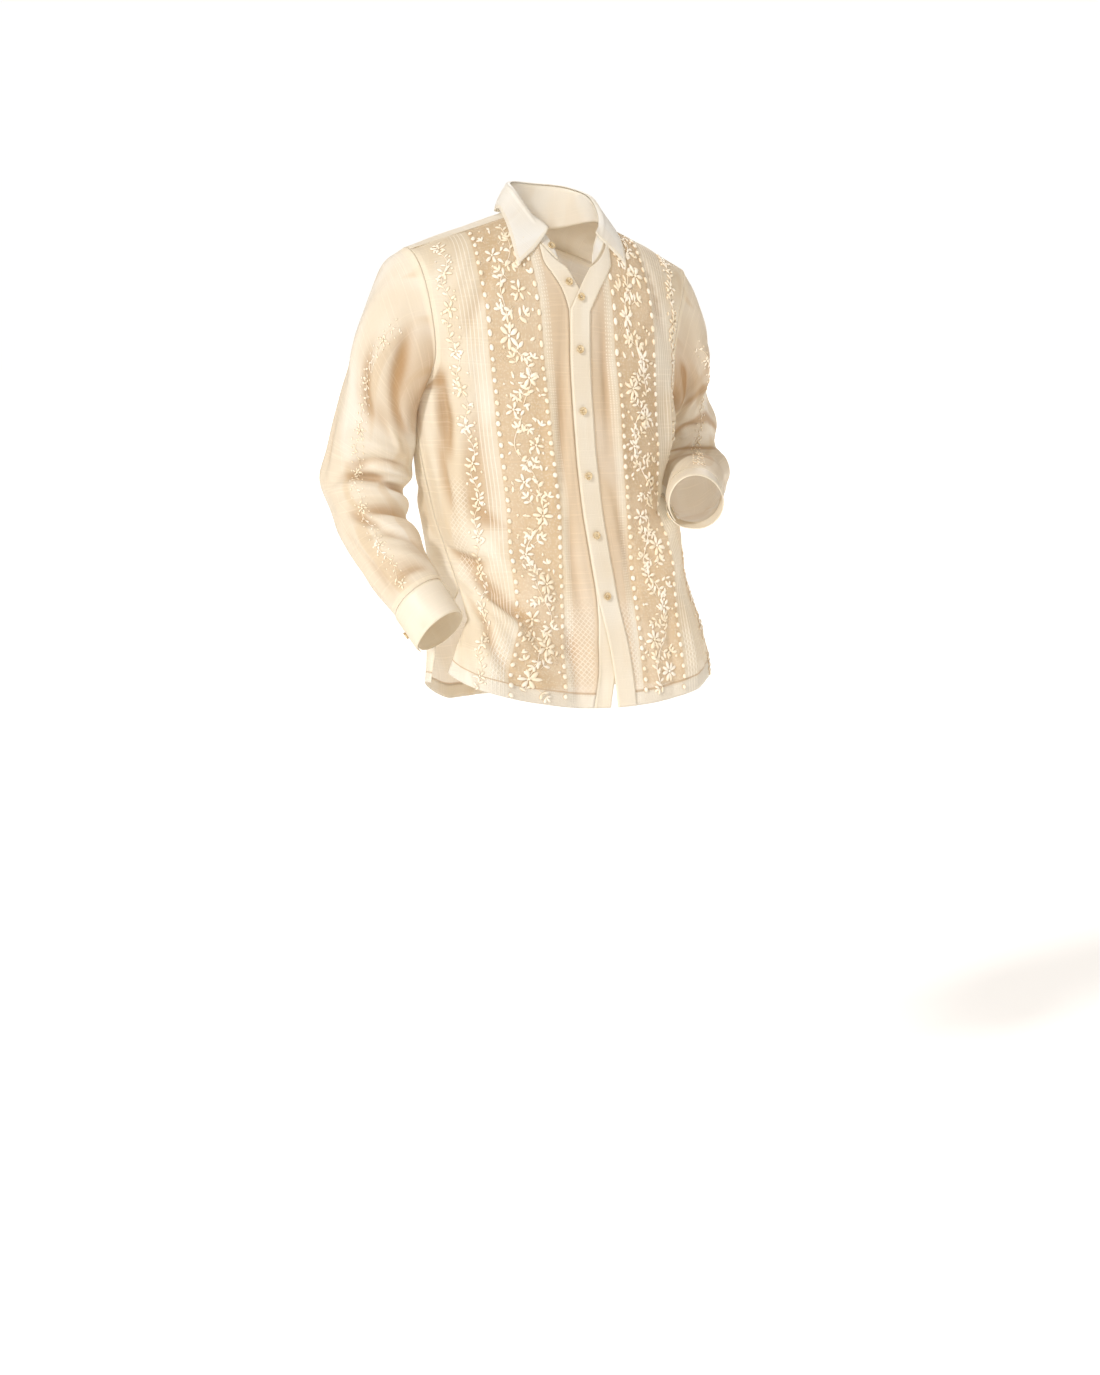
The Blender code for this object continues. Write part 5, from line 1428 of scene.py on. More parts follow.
# %% Shapes of a motif
class Motifs:
    """Petals and dots as rows of (s, h, angle, length, width, height); vines as lists of points."""

    def __init__(self, seed):
        self.chance = np.random.default_rng(seed)
        self.petals, self.dots, self.vines = [], [], []

    def near(self, value, spread):
        return value + self.chance.uniform(-spread, spread)

    def petal(self, s, h, angle, length, width=None, height=0.0022):
        self.petals.append((s, h, angle, length, width or 0.98 * length, 2.1 * height))

    def dot(self, s, h, size=0.0055, height=0.0024, angle=0.0):
        self.dots.append((s, h, angle, 1.2 * size, size, 2.0 * height))

    def vine(self, points, radius=0.0007):
        self.vines.append((np.array(points, float), radius))

    def flower(self, s, h, petals, length, turn=0.0, height=0.0024):
        for k in range(petals):
            angle = turn + 2 * math.pi * k / petals + self.near(0, 0.12)
            gap = 0.0016
            self.petal(s + gap * math.sin(angle), h + gap * math.cos(angle), angle,
                       self.near(length, 0.0012), self.near(length, 0.0008), height)
        self.dot(s, h, 0.0036, 0.0030)

    def sprig(self, s, h, angle, leaves, length, step=0.0074):
        """A stalk with leaves in pairs and one at its tip."""
        line = [(s, h)]
        bend = self.near(0, 0.25)
        for k in range(leaves):
            angle += bend / leaves
            s, h = s + step * math.sin(angle), h + step * math.cos(angle)
            line.append((s, h))
            for side in (-1, 1):
                self.petal(s, h, angle + side * self.near(0.95, 0.15),
                           self.near(length, 0.0008) * (1 - 0.10 * k), None, 0.0019)
        self.petal(s, h, angle, length, None, 0.0019)
        self.vine(line, 0.0006)

    def lattice(self, s, h, size, cells=3):
        """A small diamond net of laid threads."""
        for k in range(-cells, cells + 1):
            t = size * k / cells
            reach = size - abs(t)
            for way in (-1, 1):
                self.vine([(s + way * (t - reach) * 0.7, h + (t + reach) * 0.9),
                           (s + way * (t + reach) * 0.7, h + (t - reach) * 0.9)], 0.00035)


sample = Motifs(0)
sample.flower(0, 0, 5, 0.010)
print("a flower has", len(sample.petals), "petals and", len(sample.dots), "dot")

# %% [markdown]
# A broad band is about 80 mm wide: a row of dots down each edge, one vine that breaks at every
# flower, and big and small flowers by turns on its two sides. A narrow band is half as wide and
# much simpler.

# %% Draw the bands
def broad_band(seed, low, high):
    """A broad band's motifs; s runs from its inner row of dots (-) to its outer one (+)."""
    m = Motifs(seed)
    for edge in (-1, 1):
        h = low + m.near(0.006, 0.003)
        while h < high:
            m.dot(edge * BROAD_HALF + m.near(0, 0.0007), h, m.near(0.0066, 0.0006), 0.0030,
                  m.near(0, 0.3))
            h += m.near(0.0143, 0.0010)
    wave = m.near(0.0, 3.0)

    def vine_s(h):
        return 0.0145 * math.sin(h * 2 * math.pi / 0.168 + wave) + 0.003 * math.sin(h * 93)

    spots = np.arange(low + 0.012, high - 0.004, 0.006)
    run = [(vine_s(h), h) for h in spots]
    m.near(7, 2)                                      # one draw more, so that the rest stays
    start = 0
    while start < len(run) - 4:                       # the vine breaks at each flower
        stop = min(len(run), start + int(m.near(13, 2)))
        m.vine(run[start:stop], 0.0008)
        start = stop + 1
    h, side = low + 0.030, 1
    while h < high - 0.018:
        s = side * m.near(0.0125, 0.003)
        big = m.chance.random() < 0.55
        m.flower(s, h, int(m.near(7, 1.4)) if big else 5, 0.0130 if big else 0.0108,
                 m.near(0, 0.6), 0.0027)
        m.sprig(s - side * 0.012, h + 0.014, -side * m.near(0.9, 0.3), 2, 0.0100)
        m.sprig(s - side * 0.010, h - 0.015, -side * m.near(2.3, 0.3), 2, 0.0094)
        if m.chance.random() < 0.6:
            m.sprig(s + side * 0.006, h + 0.020, side * m.near(0.35, 0.3), 1, 0.0090)
        if m.chance.random() < 0.5:
            m.lattice(-side * m.near(0.017, 0.004), h + 0.030, m.near(0.011, 0.002))
        step = m.near(0.047, 0.006)
        for _ in range(6):                            # buds and seeds scattered between
            m.petal(m.near(0, 0.028), h + m.near(step / 2, step / 2), m.near(0, 3.1),
                    m.near(0.0082, 0.0014), None, 0.0021)
        for _ in range(5):
            m.dot(m.near(0, 0.029), h + m.near(step / 2, step / 2), m.near(0.0036, 0.0006), 0.0020)
        h += step
        side = -side
    for h in spots[::3]:                              # leaves along the vine
        s, way = vine_s(h), m.chance.choice((-1, 1))
        m.petal(s, h, way * m.near(1.0, 0.3), m.near(0.0104, 0.0012), None, 0.0022)
        if m.chance.random() < 0.8:
            m.petal(s, h + 0.005, -way * m.near(0.8, 0.3), m.near(0.0094, 0.0012), None, 0.0022)
    return m


def narrow_band(seed, low, high):
    """A narrow band: a small winding vine with leaves, buds and five-petalled flowers."""
    m = Motifs(seed)
    wave = m.near(0, 3.0)
    spots = np.arange(low + 0.006, high - 0.004, 0.0055)

    def vine_s(h):
        return 0.0050 * math.sin(h * 2 * math.pi / 0.062 + wave)

    m.vine([(vine_s(h), h) for h in spots], 0.0006)
    for k, h in enumerate(spots):
        if k % 9 == 4:
            m.flower(vine_s(h) * 0.4, h, 5, m.near(0.0100, 0.0008), m.near(0, 0.6), 0.0024)
            continue
        way = 1 if k % 2 else -1
        if m.chance.random() < 0.85:
            m.petal(vine_s(h), h, way * m.near(0.9, 0.35), m.near(0.0088, 0.0014), None, 0.0021)
        if m.chance.random() < 0.45:
            m.dot(way * m.near(0.0110, 0.0015), h, m.near(0.0038, 0.0006), 0.0020)
    return m


broad = {side: broad_band(20 + side, -0.672, -0.026) for side in (-1, 1)}
narrow = {side: narrow_band(40 + side, -0.668, -0.030) for side in (-1, 1)}
print("broad band, right:", len(broad[-1].petals), "petals,", len(broad[-1].dots), "dots,",
      len(broad[-1].vines), "stalks and threads")

# %% [markdown]
# Now the drawing is stitched on. Each shape's own points are turned and scaled on the flat
# pattern, moved to their place on the band, and only then carried onto the worn cloth, lifted
# by their height. So a petal that crosses a fold bends with it, and none floats or sinks.
# Stalks and laid threads are fine cords, swept along their lines in the same way. All of a
# band's stitches are joined into one mesh.

# %% Shapes on the cloth
CORD_SIDES = 5


def placed(shape, rows):
    """Every copy's points as (s, h, lift, foot), and its faces; foot is 1 down by the cloth."""
    points, faces = shape
    rows = np.array(rows, float)
    s0, h0, angle, length, width, height = (rows[:, k, None] for k in range(6))
    x, y, z = points[:, 0] * width, points[:, 1] * length, points[:, 2] * height
    s = s0 + x * np.cos(angle) + y * np.sin(angle)
    h = h0 - x * np.sin(angle) + y * np.cos(angle)
    foot = np.broadcast_to(points[:, 2] < 0.03, s.shape)
    spots = np.stack([s, h, z + 0.00015, foot], -1).reshape(-1, 4)
    turned = [tuple(v + k * len(points) for v in face) for k in range(len(rows)) for face in faces]
    return spots, turned


def swept(lines):
    """Round cords along flat lines, as (s, h, lift, foot) points and faces."""
    spots, faces, count = [], [], 0
    for line, radius in lines:
        run = unit(np.gradient(line, axis=0))
        across = np.stack([run[:, 1], -run[:, 0]], -1)
        angles = np.arange(CORD_SIDES) * 2 * math.pi / CORD_SIDES
        ends = np.ones(len(line))
        ends[0] = ends[-1] = 0.35
        for k in range(len(line)):
            for a in angles:
                side = across[k] * math.cos(a) * radius * ends[k]
                spots.append((line[k, 0] + side[0], line[k, 1] + side[1],
                              radius * 0.8 + radius * ends[k] * math.sin(a),
                              math.sin(a) < 0.1))
        for k in range(len(line) - 1):
            here, there = count + k * CORD_SIDES, count + (k + 1) * CORD_SIDES
            for a in range(CORD_SIDES):
                b = (a + 1) % CORD_SIDES
                faces.append((here + a, here + b, there + b, there + a))
        ring = range(count, count + CORD_SIDES)
        faces.append(tuple(ring)[::-1])
        faces.append(tuple(v + (len(line) - 1) * CORD_SIDES for v in ring))
        count += len(line) * CORD_SIDES
    return np.array(spots), faces


def joined(parts):
    """Several lots of points and faces as one."""
    spots, faces, count = [], [], 0
    for points, some in parts:
        spots.append(points)
        faces += [tuple(v + count for v in face) for face in some]
        count += len(points)
    return np.concatenate(spots), faces


def add_stitches(name, points, faces, foot=None):
    mesh = bpy.data.meshes.new(name)
    mesh.from_pydata(points.tolist(), [], faces)
    if foot is not None:
        mesh.attributes.new("foot", "FLOAT", "POINT").data.foreach_set("value", foot)
    edit = bmesh.new()
    edit.from_mesh(mesh)
    bmesh.ops.recalc_face_normals(edit, faces=edit.faces)
    edit.to_mesh(mesh)
    edit.free()
    mesh.shade_smooth()
    return new_piece(name, mesh)


def triangles(thing):
    return sum(len(face.vertices) - 2 for face in thing.data.polygons)


print("cords have", CORD_SIDES, "sides")

# %% [markdown]
# A shape that would cross a seam, the neck or the button band is left out, as an embroiderer
# would leave it out. The fronts' bands are now stitched.

# %% Stitch the fronts
SPARE = 0.004            # kept free beside every edge


def on_front(kind, side, s, h):
    """Whether points drawn on a band lie on its front, clear of the neck, button band and seams."""
    s, h = np.atleast_1d(s), np.atleast_1d(h)
    u = band_line(kind, side, h) + s
    start = np.maximum(opening(h, side) + BAND, neck_edge(np.maximum(h, NECK_FRONT)))
    return (u > start + SPARE) & (u < side_edge(h, False) - SPARE) & (h < YOKE_FRONT - SPARE)


def stitched(name, motifs, kind, side):
    petals = [row for row in motifs.petals
              if on_front(kind, side, row[0] + row[3] * math.sin(row[2]),
                          row[1] + row[3] * math.cos(row[2]))[0]
              and on_front(kind, side, row[0], row[1])[0]]
    dots = [row for row in motifs.dots if on_front(kind, side, row[0], row[1])[0]]
    vines = [line for line in motifs.vines if on_front(kind, side, *line[0].T).all()]
    flat, faces = joined([placed(PETAL, petals), placed(DOT, dots), swept(vines)])
    s, h, lift, foot = flat.T
    u = side * (band_line(kind, side, h) + s)
    return add_stitches(name, body(u, h, False, lift=lift), faces, foot)


for side, name in BOTH_SIDES:
    thing = stitched("broad_embroidery_" + name, broad[side], "broad", side)
    print(thing.name, triangles(thing), "triangles")
    thing = stitched("narrow_embroidery_" + name, narrow[side], "narrow", side)
    print(thing.name, triangles(thing), "triangles")

# %% [markdown]
# Seams are closed by machine stitches about 3 mm long, a row near every folded edge: the hem,
# the button bands, the yoke, the cuffs and the collar. One stitch is modelled, a short thread
# that dips into the cloth at both ends, and copied along each row.
# To lie on the cloth, a row reads the grid its piece was made from, and the outward direction
# of the cloth at each point of it.

# %% Model one stitch
stitch = start_primitive(bpy.ops.mesh.primitive_uv_sphere_add, segments=6, ring_count=5,
                         radius=0.5, rotation=(0, math.pi / 2, 0))
bpy.ops.object.transform_apply(location=False, rotation=True, scale=False)
pick(stitch, lambda x, y, z: abs(x) < 0.35)
bpy.ops.transform.resize(value=(1.35, 0.85, 0.85), center_override=(0, 0, 0))
pick(stitch, lambda x, y, z: abs(x) > 0.45)
bpy.ops.transform.translate(value=(0, 0, -0.35))
bpy.ops.mesh.select_all(action="SELECT")
bpy.ops.mesh.normals_make_consistent(inside=False)
STITCH = template(stitch)
print("stitch", len(STITCH[1]), "faces")

# %% Rows of stitches
STITCH_LENGTH, STITCH_STEP, STITCH_THICK = 0.0030, 0.0040, 0.0006


def on_grid(name, row, column, lift=0.0):
    """Points of a cloth piece at fractional rows and columns of its grid, `lift` above it."""
    grid, outward = grids[name]
    row = np.clip(row, 0, grid.shape[0] - 1.001)
    column = np.clip(column, 0, grid.shape[1] - 1.001)
    r, c = row.astype(int), column.astype(int)
    a, b = (row - r)[..., None], (column - c)[..., None]

    def read(values):
        return ((values[r, c] * (1 - b) + values[r, c + 1] * b) * (1 - a)
                + (values[r + 1, c] * (1 - b) + values[r + 1, c + 1] * b) * a)

    return read(grid) + unit(read(outward)) * np.asarray(lift)[..., None]


def stitch_row(name, row, column):
    """Stitches along a line given by rows and columns of a piece's grid."""
    line = on_grid(name, row, column)
    way = walked(line)
    count = max(2, int(way[-1] / STITCH_STEP))
    spots = np.linspace(way[-1] / count / 2, way[-1] * (1 - 0.5 / count), count)
    rows, columns = np.interp(spots, way, row), np.interp(spots, way, column)
    centre = on_grid(name, rows, columns)
    up = unit(on_grid(name, rows, columns, 0.001) - centre)
    run = unit(np.gradient(centre, axis=0))
    side = np.cross(up, run)
    shape, faces = STITCH
    points = (centre[:, None] + run[:, None] * shape[None, :, :1] * STITCH_LENGTH
              + side[:, None] * shape[None, :, 1:2] * STITCH_THICK
              + up[:, None] * (shape[None, :, 2:] + 0.22) * STITCH_THICK)
    turned = [tuple(v + k * len(shape) for v in face) for k in range(count) for face in faces]
    return points.reshape(-1, 3), turned


def across_at(name, distance, from_end=False):
    """The row of a grid, at each column, that is `distance` down from its first or last edge."""
    grid = grids[name][0]
    way = walked(grid[::-1] if from_end else grid)
    rows = np.array([np.interp(distance, way[:, c], np.arange(grid.shape[0]))
                     for c in range(grid.shape[1])])
    return (grid.shape[0] - 1 - rows if from_end else rows), np.arange(grid.shape[1]) * 1.0


def down_at(name, distance, from_end=False):
    """The column of a grid, at each row, that is `distance` in from its first or last edge."""
    grid, outward = grids[name]
    grids["turned"] = (np.swapaxes(grid, 0, 1), outward)
    column, row = across_at("turned", distance, from_end)
    return row, column


# each row: cloth piece, along which way, distance from its edge, from the far end, points skipped
fronts_and_back = ("front_right_cloth", "front_left_cloth", "back_cloth")
SEWN = {
    "hem_stitches": [(name, across_at, HEM_TURN - 0.0015, False, 0) for name in fronts_and_back],
    "yoke_stitches": [(name, across_at, 0.0030, True, 0) for name in fronts_and_back],
    "band_stitches": [(name, down_at, 0.0030, from_end, 0) for name in ("band_right", "band_left")
                      for from_end in (False, True)],
    "cuff_stitches": [(name, way, 0.0042, from_end, 0)
                      for name in ("cuff_right_band", "cuff_left_band")
                      for way, from_end in ((across_at, False), (across_at, True),
                                            (down_at, True))],
    "collar_stitches": [("collar_leaf_band", across_at, 0.0050, True, 0),
                        ("collar_leaf_band", down_at, 0.0050, False, 6),
                        ("collar_leaf_band", down_at, 0.0050, True, 6),
                        ("collar_stand_band", across_at, 0.0030, False, 0)],
}
for name, lines in SEWN.items():
    parts = []
    for cloth_name, way, distance, from_end, skipped in lines:
        row, column = way(cloth_name, distance, from_end)
        parts.append(stitch_row(cloth_name, row[skipped:], column[skipped:]))
    thing = add_stitches(name, *joined(parts))
    print(name, sum(len(points) for points, _ in parts) // len(STITCH[0]), "stitches,",
          triangles(thing), "triangles")

# %% [markdown]
# A narrow strip of the same embroidery runs down the front of each sleeve, quieter than on the
# body: a thin vine with small leaves. It is placed by the sleeve's own grid.

# %% Sleeve embroidery
FRONT_COLUMN = 31        # the column of a sleeve's grid that runs down its front
for side, name in BOTH_SIDES:
    cloth_name = "sleeve_" + name + "_cloth"
    grid = grids[cloth_name][0]
    reached = walked(grid[:, FRONT_COLUMN])
    m = Motifs(60 + side)
    spots = np.arange(0.050, reached[-1] - 0.012, 0.0060)
    m.vine([(0.0035 * math.sin(h * 110), h) for h in spots], 0.0004)
    for edge in (-1, 1):
        for h in spots[::2]:
            m.dot(edge * 0.0085, h, 0.0026, 0.0012)
    for k, h in enumerate(spots):
        way = 1 if k % 2 else -1
        if k % 11 == 5:
            m.flower(0.0, h, 5, 0.0062, m.near(0, 0.6), 0.0016)
        elif m.chance.random() < 0.8:
            m.petal(0.0035 * math.sin(h * 110), h, way * m.near(0.9, 0.3),
                    m.near(0.0060, 0.0010), None, 0.0013)
    flat, faces = joined([placed(PETAL, m.petals), placed(DOT, m.dots), swept(m.vines)])
    s, down, lift, foot = flat.T
    row = np.interp(down, reached, np.arange(len(grid)))
    columns_per_metre = (grid.shape[1] - 1) / np.interp(row, np.arange(len(grid)), girth_of(grid))
    column = FRONT_COLUMN + columns_per_metre * s
    thing = add_stitches("sleeve_embroidery_" + name, on_grid(cloth_name, row, column, lift),
                         faces, foot)
    print(thing.name, triangles(thing), "triangles")

# %% [markdown]
# The buttons are turned from shell: a round disc with a raised soft rim, a dished face and four
# holes, held on by crossed thread. One is modelled at its real 11.5 mm and copied to where each
# button's solid sits, facing the same way.
# The disc starts as a cylinder. Its front is inset for the rim and again for the dish, the edge
# is rounded with a Bevel modifier, and the holes are cut with a Boolean.

# %% Model a shell button
BUTTON = 0.0115
BUTTON_THICK = 0.0030
disc = start_primitive(bpy.ops.mesh.primitive_cylinder_add, vertices=40, radius=BUTTON / 2,
                       depth=BUTTON_THICK, location=(0, 0, BUTTON_THICK / 2))
bpy.ops.object.transform_apply(location=True, rotation=True, scale=True)
pick(disc, lambda x, y, z: z > BUTTON_THICK * 0.9)
bpy.ops.mesh.select_mode(type="FACE")
bpy.ops.mesh.inset(thickness=0.0010, depth=0)
bpy.ops.mesh.inset(thickness=0.0006, depth=-0.0006)
bpy.ops.mesh.inset(thickness=0.0012, depth=-0.0001)
pick(disc, lambda x, y, z: z < 0.0002)
bpy.ops.mesh.select_mode(type="FACE")
bpy.ops.transform.resize(value=(0.82, 0.82, 1), center_override=(0, 0, 0))
bpy.ops.object.mode_set(mode="OBJECT")
edge = disc.modifiers.new("rounded", "BEVEL")
edge.width = 0.00035
edge.segments = 2
edge.limit_method = "ANGLE"
bpy.ops.object.modifier_apply(modifier="rounded")
for k in range(4):
    a = math.pi / 4 + k * math.pi / 2
    hole = start_primitive(bpy.ops.mesh.primitive_cylinder_add, vertices=12, radius=0.00055,
                           depth=0.01, location=(0.0013 * math.cos(a), 0.0013 * math.sin(a), 0))
    cut = disc.modifiers.new("hole", "BOOLEAN")
    cut.object = hole
    cut.operation = "DIFFERENCE"
    cut.solver = "EXACT"
    bpy.context.view_layer.objects.active = disc
    bpy.ops.object.modifier_apply(modifier="hole")
    bpy.data.objects.remove(hole)
disc.select_set(True)
bpy.context.view_layer.objects.active = disc
DISC = template(disc)
parts = []
for k in range(4):                     # two crossed pairs of thread, from hole to hole
    a = math.pi / 4 + k * math.pi / 2
    way = np.array([math.cos(a), math.sin(a), 0])
    across = np.array([-way[1], way[0], 0])
    shape = STITCH[0]
    centre = way * 0.00065 + np.array([0, 0, BUTTON_THICK - 0.00045 + 0.0001 * k])
    parts.append((centre + shape[:, :1] * way * 0.0021 + shape[:, 1:2] * across * 0.0005
                  + shape[:, 2:] * np.array([0, 0, 0.0005]), STITCH[1]))
THREADS = joined(parts)
print("button", len(DISC[1]), "faces with", len(parts), "strands of thread")

# %% Place the buttons
button_names = [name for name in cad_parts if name.startswith("button")]
for node_name in button_names:
    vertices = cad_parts[node_name].data.vertices
    points = np.unique(np.round([tuple(v.co) for v in vertices], 6), axis=0)
    middle = points.mean(axis=0)
    # the solid is a flat disc, so its thinnest direction is the way the button faces
    face = np.linalg.svd(points - middle)[2][2]
    outwards = np.array([-0.2, -1.0, 0.3]) if "cuff" not in node_name else None
    if outwards is None:
        ring = grids["cuff_right_band" if "right" in node_name else "cuff_left_band"][0]
        outwards = middle - ring.mean(axis=(0, 1))
    face = face if face @ outwards > 0 else -face
    right = unit(np.cross(np.array([0.0, 0.0, 1.0]), face))
    up = np.cross(face, right)
    low = ((points - middle) @ face).min()
    turned = np.stack([right, up, face])
    for suffix, (shape, faces) in (("_shell", DISC), ("_thread", THREADS)):
        add_stitches(node_name + suffix, shape @ turned + middle + face * (low - 0.0002), faces)
print(len(button_names), "buttons")

# %% [markdown]
# Piña cloth is woven by hand from knotted pineapple-leaf fibre: stiff, glossy and sheer, with
# slubs where a thread runs thicker. To the eye that gives a warm ivory veil, darker where one
# looks through it to the shaded inside, and whiter and denser wherever it is doubled.
# In the trough of a fold the cloth is painted a deep tan, as painted shade, and so it is in soft
# long patches laid at random, painted shade that stands for the shade of slack wrinkles.
# The shader follows that: a Principled surface for the thread, a Translucent one for the light
# that soaks through, and a Transparent one for the gaps, mixed by how much the thread covers.
# A ply is a shell with two faces, so a cover of 0.66 on each hides 88 % of what is behind.
# Real threads are 0.25 mm apart, too fine to show here, so the weave is drawn 2.4 mm coarse and
# faint. Slubs are drawn 90 mm long and 2.5 mm thick.

# %% Nodes for cloth
def wave_scale(spacing):
    """Blender's wave texture repeats every 2 pi / 20 of a unit at scale 1."""
    return 2 * math.pi / 20 / spacing


def clouds(tree, plan, across, up, detail, distortion=0.0):
    """Soft noise in patches about `across` metres wide and `up` metres tall on the pattern."""
    place = add_node(tree, "Mapping", {"Vector": plan, "Scale": (1 / across, 1 / up, 1)})
    return add_node(tree, "TexNoise", {"Vector": place.outputs[0], "Scale": 1.0,
                                       "Detail": detail, "Distortion": distortion}
                    ).outputs["Fac"]


def ramp(tree, value, low, high, start=0.0, end=1.0):
    """A soft step of a value, as one number."""
    return add_node(tree, "MapRange", {"Value": value, "From Min": low, "From Max": high,
                                       "To Min": start, "To Max": end},
                    interpolation_type="SMOOTHSTEP").outputs[0]


def combined(tree, operation, a, b):
    return add_node(tree, "Math", {0: a, 1: b}, operation=operation).outputs[0]


def times(tree, a, b):
    return combined(tree, "MULTIPLY", a, b)


def plus(tree, a, b):
    return combined(tree, "ADD", a, b)


def blended(tree, share, under, over):
    """A colour over another one, by a share from 0 to 1."""
    return add_node(tree, "Mix", {"Factor": share, 6: under, 7: over},
                    data_type="RGBA").outputs[2]


def attribute(tree, name):
    return add_node(tree, "Attribute", {}, attribute_name=name).outputs["Fac"]


print("a wave every 2.4 mm needs scale", round(wave_scale(0.0024), 1))

# %% [markdown]
# The colour is laid on in order: two tones of the fibre in large soft clouds, random patches of
# painted shade, painted shade in the troughs of folds and the armpits, pale slubs and white
# doubled plies. Cover and height are added up beside it.

# %% Piña cloth
def woven(name, deep, pale, cover, extra=None, shade_patch_share=0.26):
    """A sheer woven cloth.  `extra` may add a pattern: it gets the tree, the plan, and the
    colour, cover and height so far, and gives them back changed."""
    look, tree = new_material(name)
    plan = add_node(tree, "UVMap", {}, uv_map="cut_plan").outputs[0]
    cloud = clouds(tree, plan, 0.110, 0.160, 2.0)
    weft = clouds(tree, plan, 0.090, 0.0025, 1.0)
    warp = clouds(tree, plan, 0.0028, 0.120, 1.0)
    slubs = plus(tree, ramp(tree, weft, 0.54, 0.74), ramp(tree, warp, 0.56, 0.78, 0, 0.7))
    weave = []
    for direction in ("X", "Y"):
        weave.append(add_node(tree, "TexWave", {"Vector": plan, "Scale": wave_scale(0.0024),
                                                "Distortion": 0.6, "Detail Scale": 2.0},
                              bands_direction=direction).outputs["Fac"])
    threads = times(tree, plus(tree, weave[0], weave[1]), 0.25)
    doubled = attribute(tree, "doubled")
    colour = blended(tree, ramp(tree, cloud, 0.38, 0.66), linear(deep), linear(pale))
    # painted shade: soft long tan patches at random, standing for the shade of slack wrinkles
    shade_patch_noise = clouds(tree, plan, 0.050, 0.150, 1.5, 0.4)
    colour = blended(tree, ramp(tree, shade_patch_noise, 0.53, 0.62, 0, shade_patch_share), colour, linear("#DEC08E"))
    # painted shade: the cloth turns tan in the troughs of folds and in the armpits
    colour = blended(tree, times(tree, attribute(tree, "sunk"), 0.70), colour, linear("#C39B66"))
    colour = blended(tree, times(tree, slubs, 0.10), colour, linear("#FFF8E8"))
    colour = blended(tree, times(tree, doubled, 0.65), colour, linear("#FBF1DC"))
    covered = plus(tree, cover, plus(tree, times(tree, slubs, 0.06), times(tree, doubled, 0.10)))
    height = plus(tree, times(tree, threads, 0.5), times(tree, slubs, 0.6))
    height = plus(tree, height, times(tree, doubled, 0.8))
    if extra:
        colour, covered, height = extra(tree, plan, colour, covered, height)
    bump = add_node(tree, "Bump", {"Height": height, "Strength": 0.35, "Distance": 0.0005})
    thread = add_node(tree, "BsdfPrincipled", {
        "Base Color": colour, "Roughness": ramp(tree, threads, 0, 0.5, 0.62, 0.50),
        "IOR": 1.50, "Sheen Weight": 0.12, "Sheen Roughness": 0.4, "Normal": bump.outputs[0]})
    soaked = add_node(tree, "BsdfTranslucent", {"Color": colour, "Normal": bump.outputs[0]})
    lit = add_node(tree, "MixShader", {0: 0.20, 1: thread.outputs[0], 2: soaked.outputs[0]})
    gaps = add_node(tree, "BsdfTransparent", {})
    whole = add_node(tree, "MixShader", {0: covered, 1: gaps.outputs[0], 2: lit.outputs[0]})
    add_node(tree, "OutputMaterial", {"Surface": whole.outputs[0]})
    return look


PINA = ("#F3E7D0", "#FCF7EC", 0.66)
pina = woven("handwoven_pina_cloth", *PINA)
print(pina.name, "has", len(pina.node_tree.nodes), "nodes")

# %% [markdown]
# The embroidery thread is a soft mercerised floss, a little whiter than the cloth. Satin stitch
# lays its strands side by side, so each petal has a fine grain and a gentle gloss. The strands
# are about 0.4 mm wide; they are drawn 0.9 mm wide as a faint bump. Where they dive back into
# the cloth, at the foot of a shape, little light gets in and the floss reads tan.

# %% Embroidery floss
silk_thread, tree = new_material("mercerised_embroidery_floss")
place = add_node(tree, "TexCoord", {}).outputs["Object"]
strand = add_node(tree, "TexNoise", {"Vector": place, "Scale": 1100.0, "Detail": 1.0})
patch = add_node(tree, "TexNoise", {"Vector": place, "Scale": 38.0, "Detail": 1.0})
tone = blended(tree, ramp(tree, patch.outputs["Fac"], 0.38, 0.62), linear("#F8EBD0"),
               linear("#FEF6E6"))
tone = blended(tree, times(tree, attribute(tree, "foot"), 0.80), tone, linear("#C49A63"))
raised = add_node(tree, "Bump", {"Height": strand.outputs["Fac"], "Strength": 0.25,
                                 "Distance": 0.0003})
floss = add_node(tree, "BsdfPrincipled", {"Base Color": tone, "Roughness": 0.42, "IOR": 1.53,
                                          "Sheen Weight": 0.2, "Normal": raised.outputs[0]})
add_node(tree, "OutputMaterial", {"Surface": floss.outputs[0]})
print(silk_thread.name)

# %% [markdown]
# The fronts are the same cloth with more work in it. Beside the button bands it stays a plain
# single ply, and there it is painted darker, as painted shade of the shaded inside seen through
# it. Inside a broad band the ground is drawn-thread work, a little darker and finely pitted.
# Beside it, towards the buttons, runs a column of eyelets. Between the broad and the narrow band
# are pintucks, tiny folds 5.5 mm apart that catch the light as pale upright lines, and low on
# each front are patches of fine net.
# The real pits are under 1 mm; they are drawn 3.4 mm apart. Each pattern reads how far it is
# from its band, so all of them follow the bands down the cloth. The yoke is two plies thick, so
# little shows through it.

# %% Pintucks, eyelets and net
def lines_every(tree, value, spacing, thick):
    """1 on thin lines `spacing` apart, 0 between them."""
    swing = combined(tree, "PINGPONG", value, spacing / 2)
    return ramp(tree, swing, spacing / 2 - thick, spacing / 2 - thick * 0.3)


def between(tree, value, low, high, soft=0.0012):
    return times(tree, ramp(tree, value, low - soft, low + soft),
                 ramp(tree, value, high + soft, high - soft))


def hemmed(tree, plan, colour, covered, height):
    """The turned hem: a second ply, whiter, with a tan shade where its edge lifts."""
    hem = attribute(tree, "hem")
    colour = blended(tree, times(tree, hem, 0.85), colour, linear("#FDF7EA"))
    colour = blended(tree, times(tree, between(tree, hem, 0.25, 0.70, 0.15), 0.65), colour,
                     linear("#C6A271"))
    return (colour, plus(tree, covered, times(tree, hem, 0.20)),
            plus(tree, height, times(tree, hem, 0.9)))


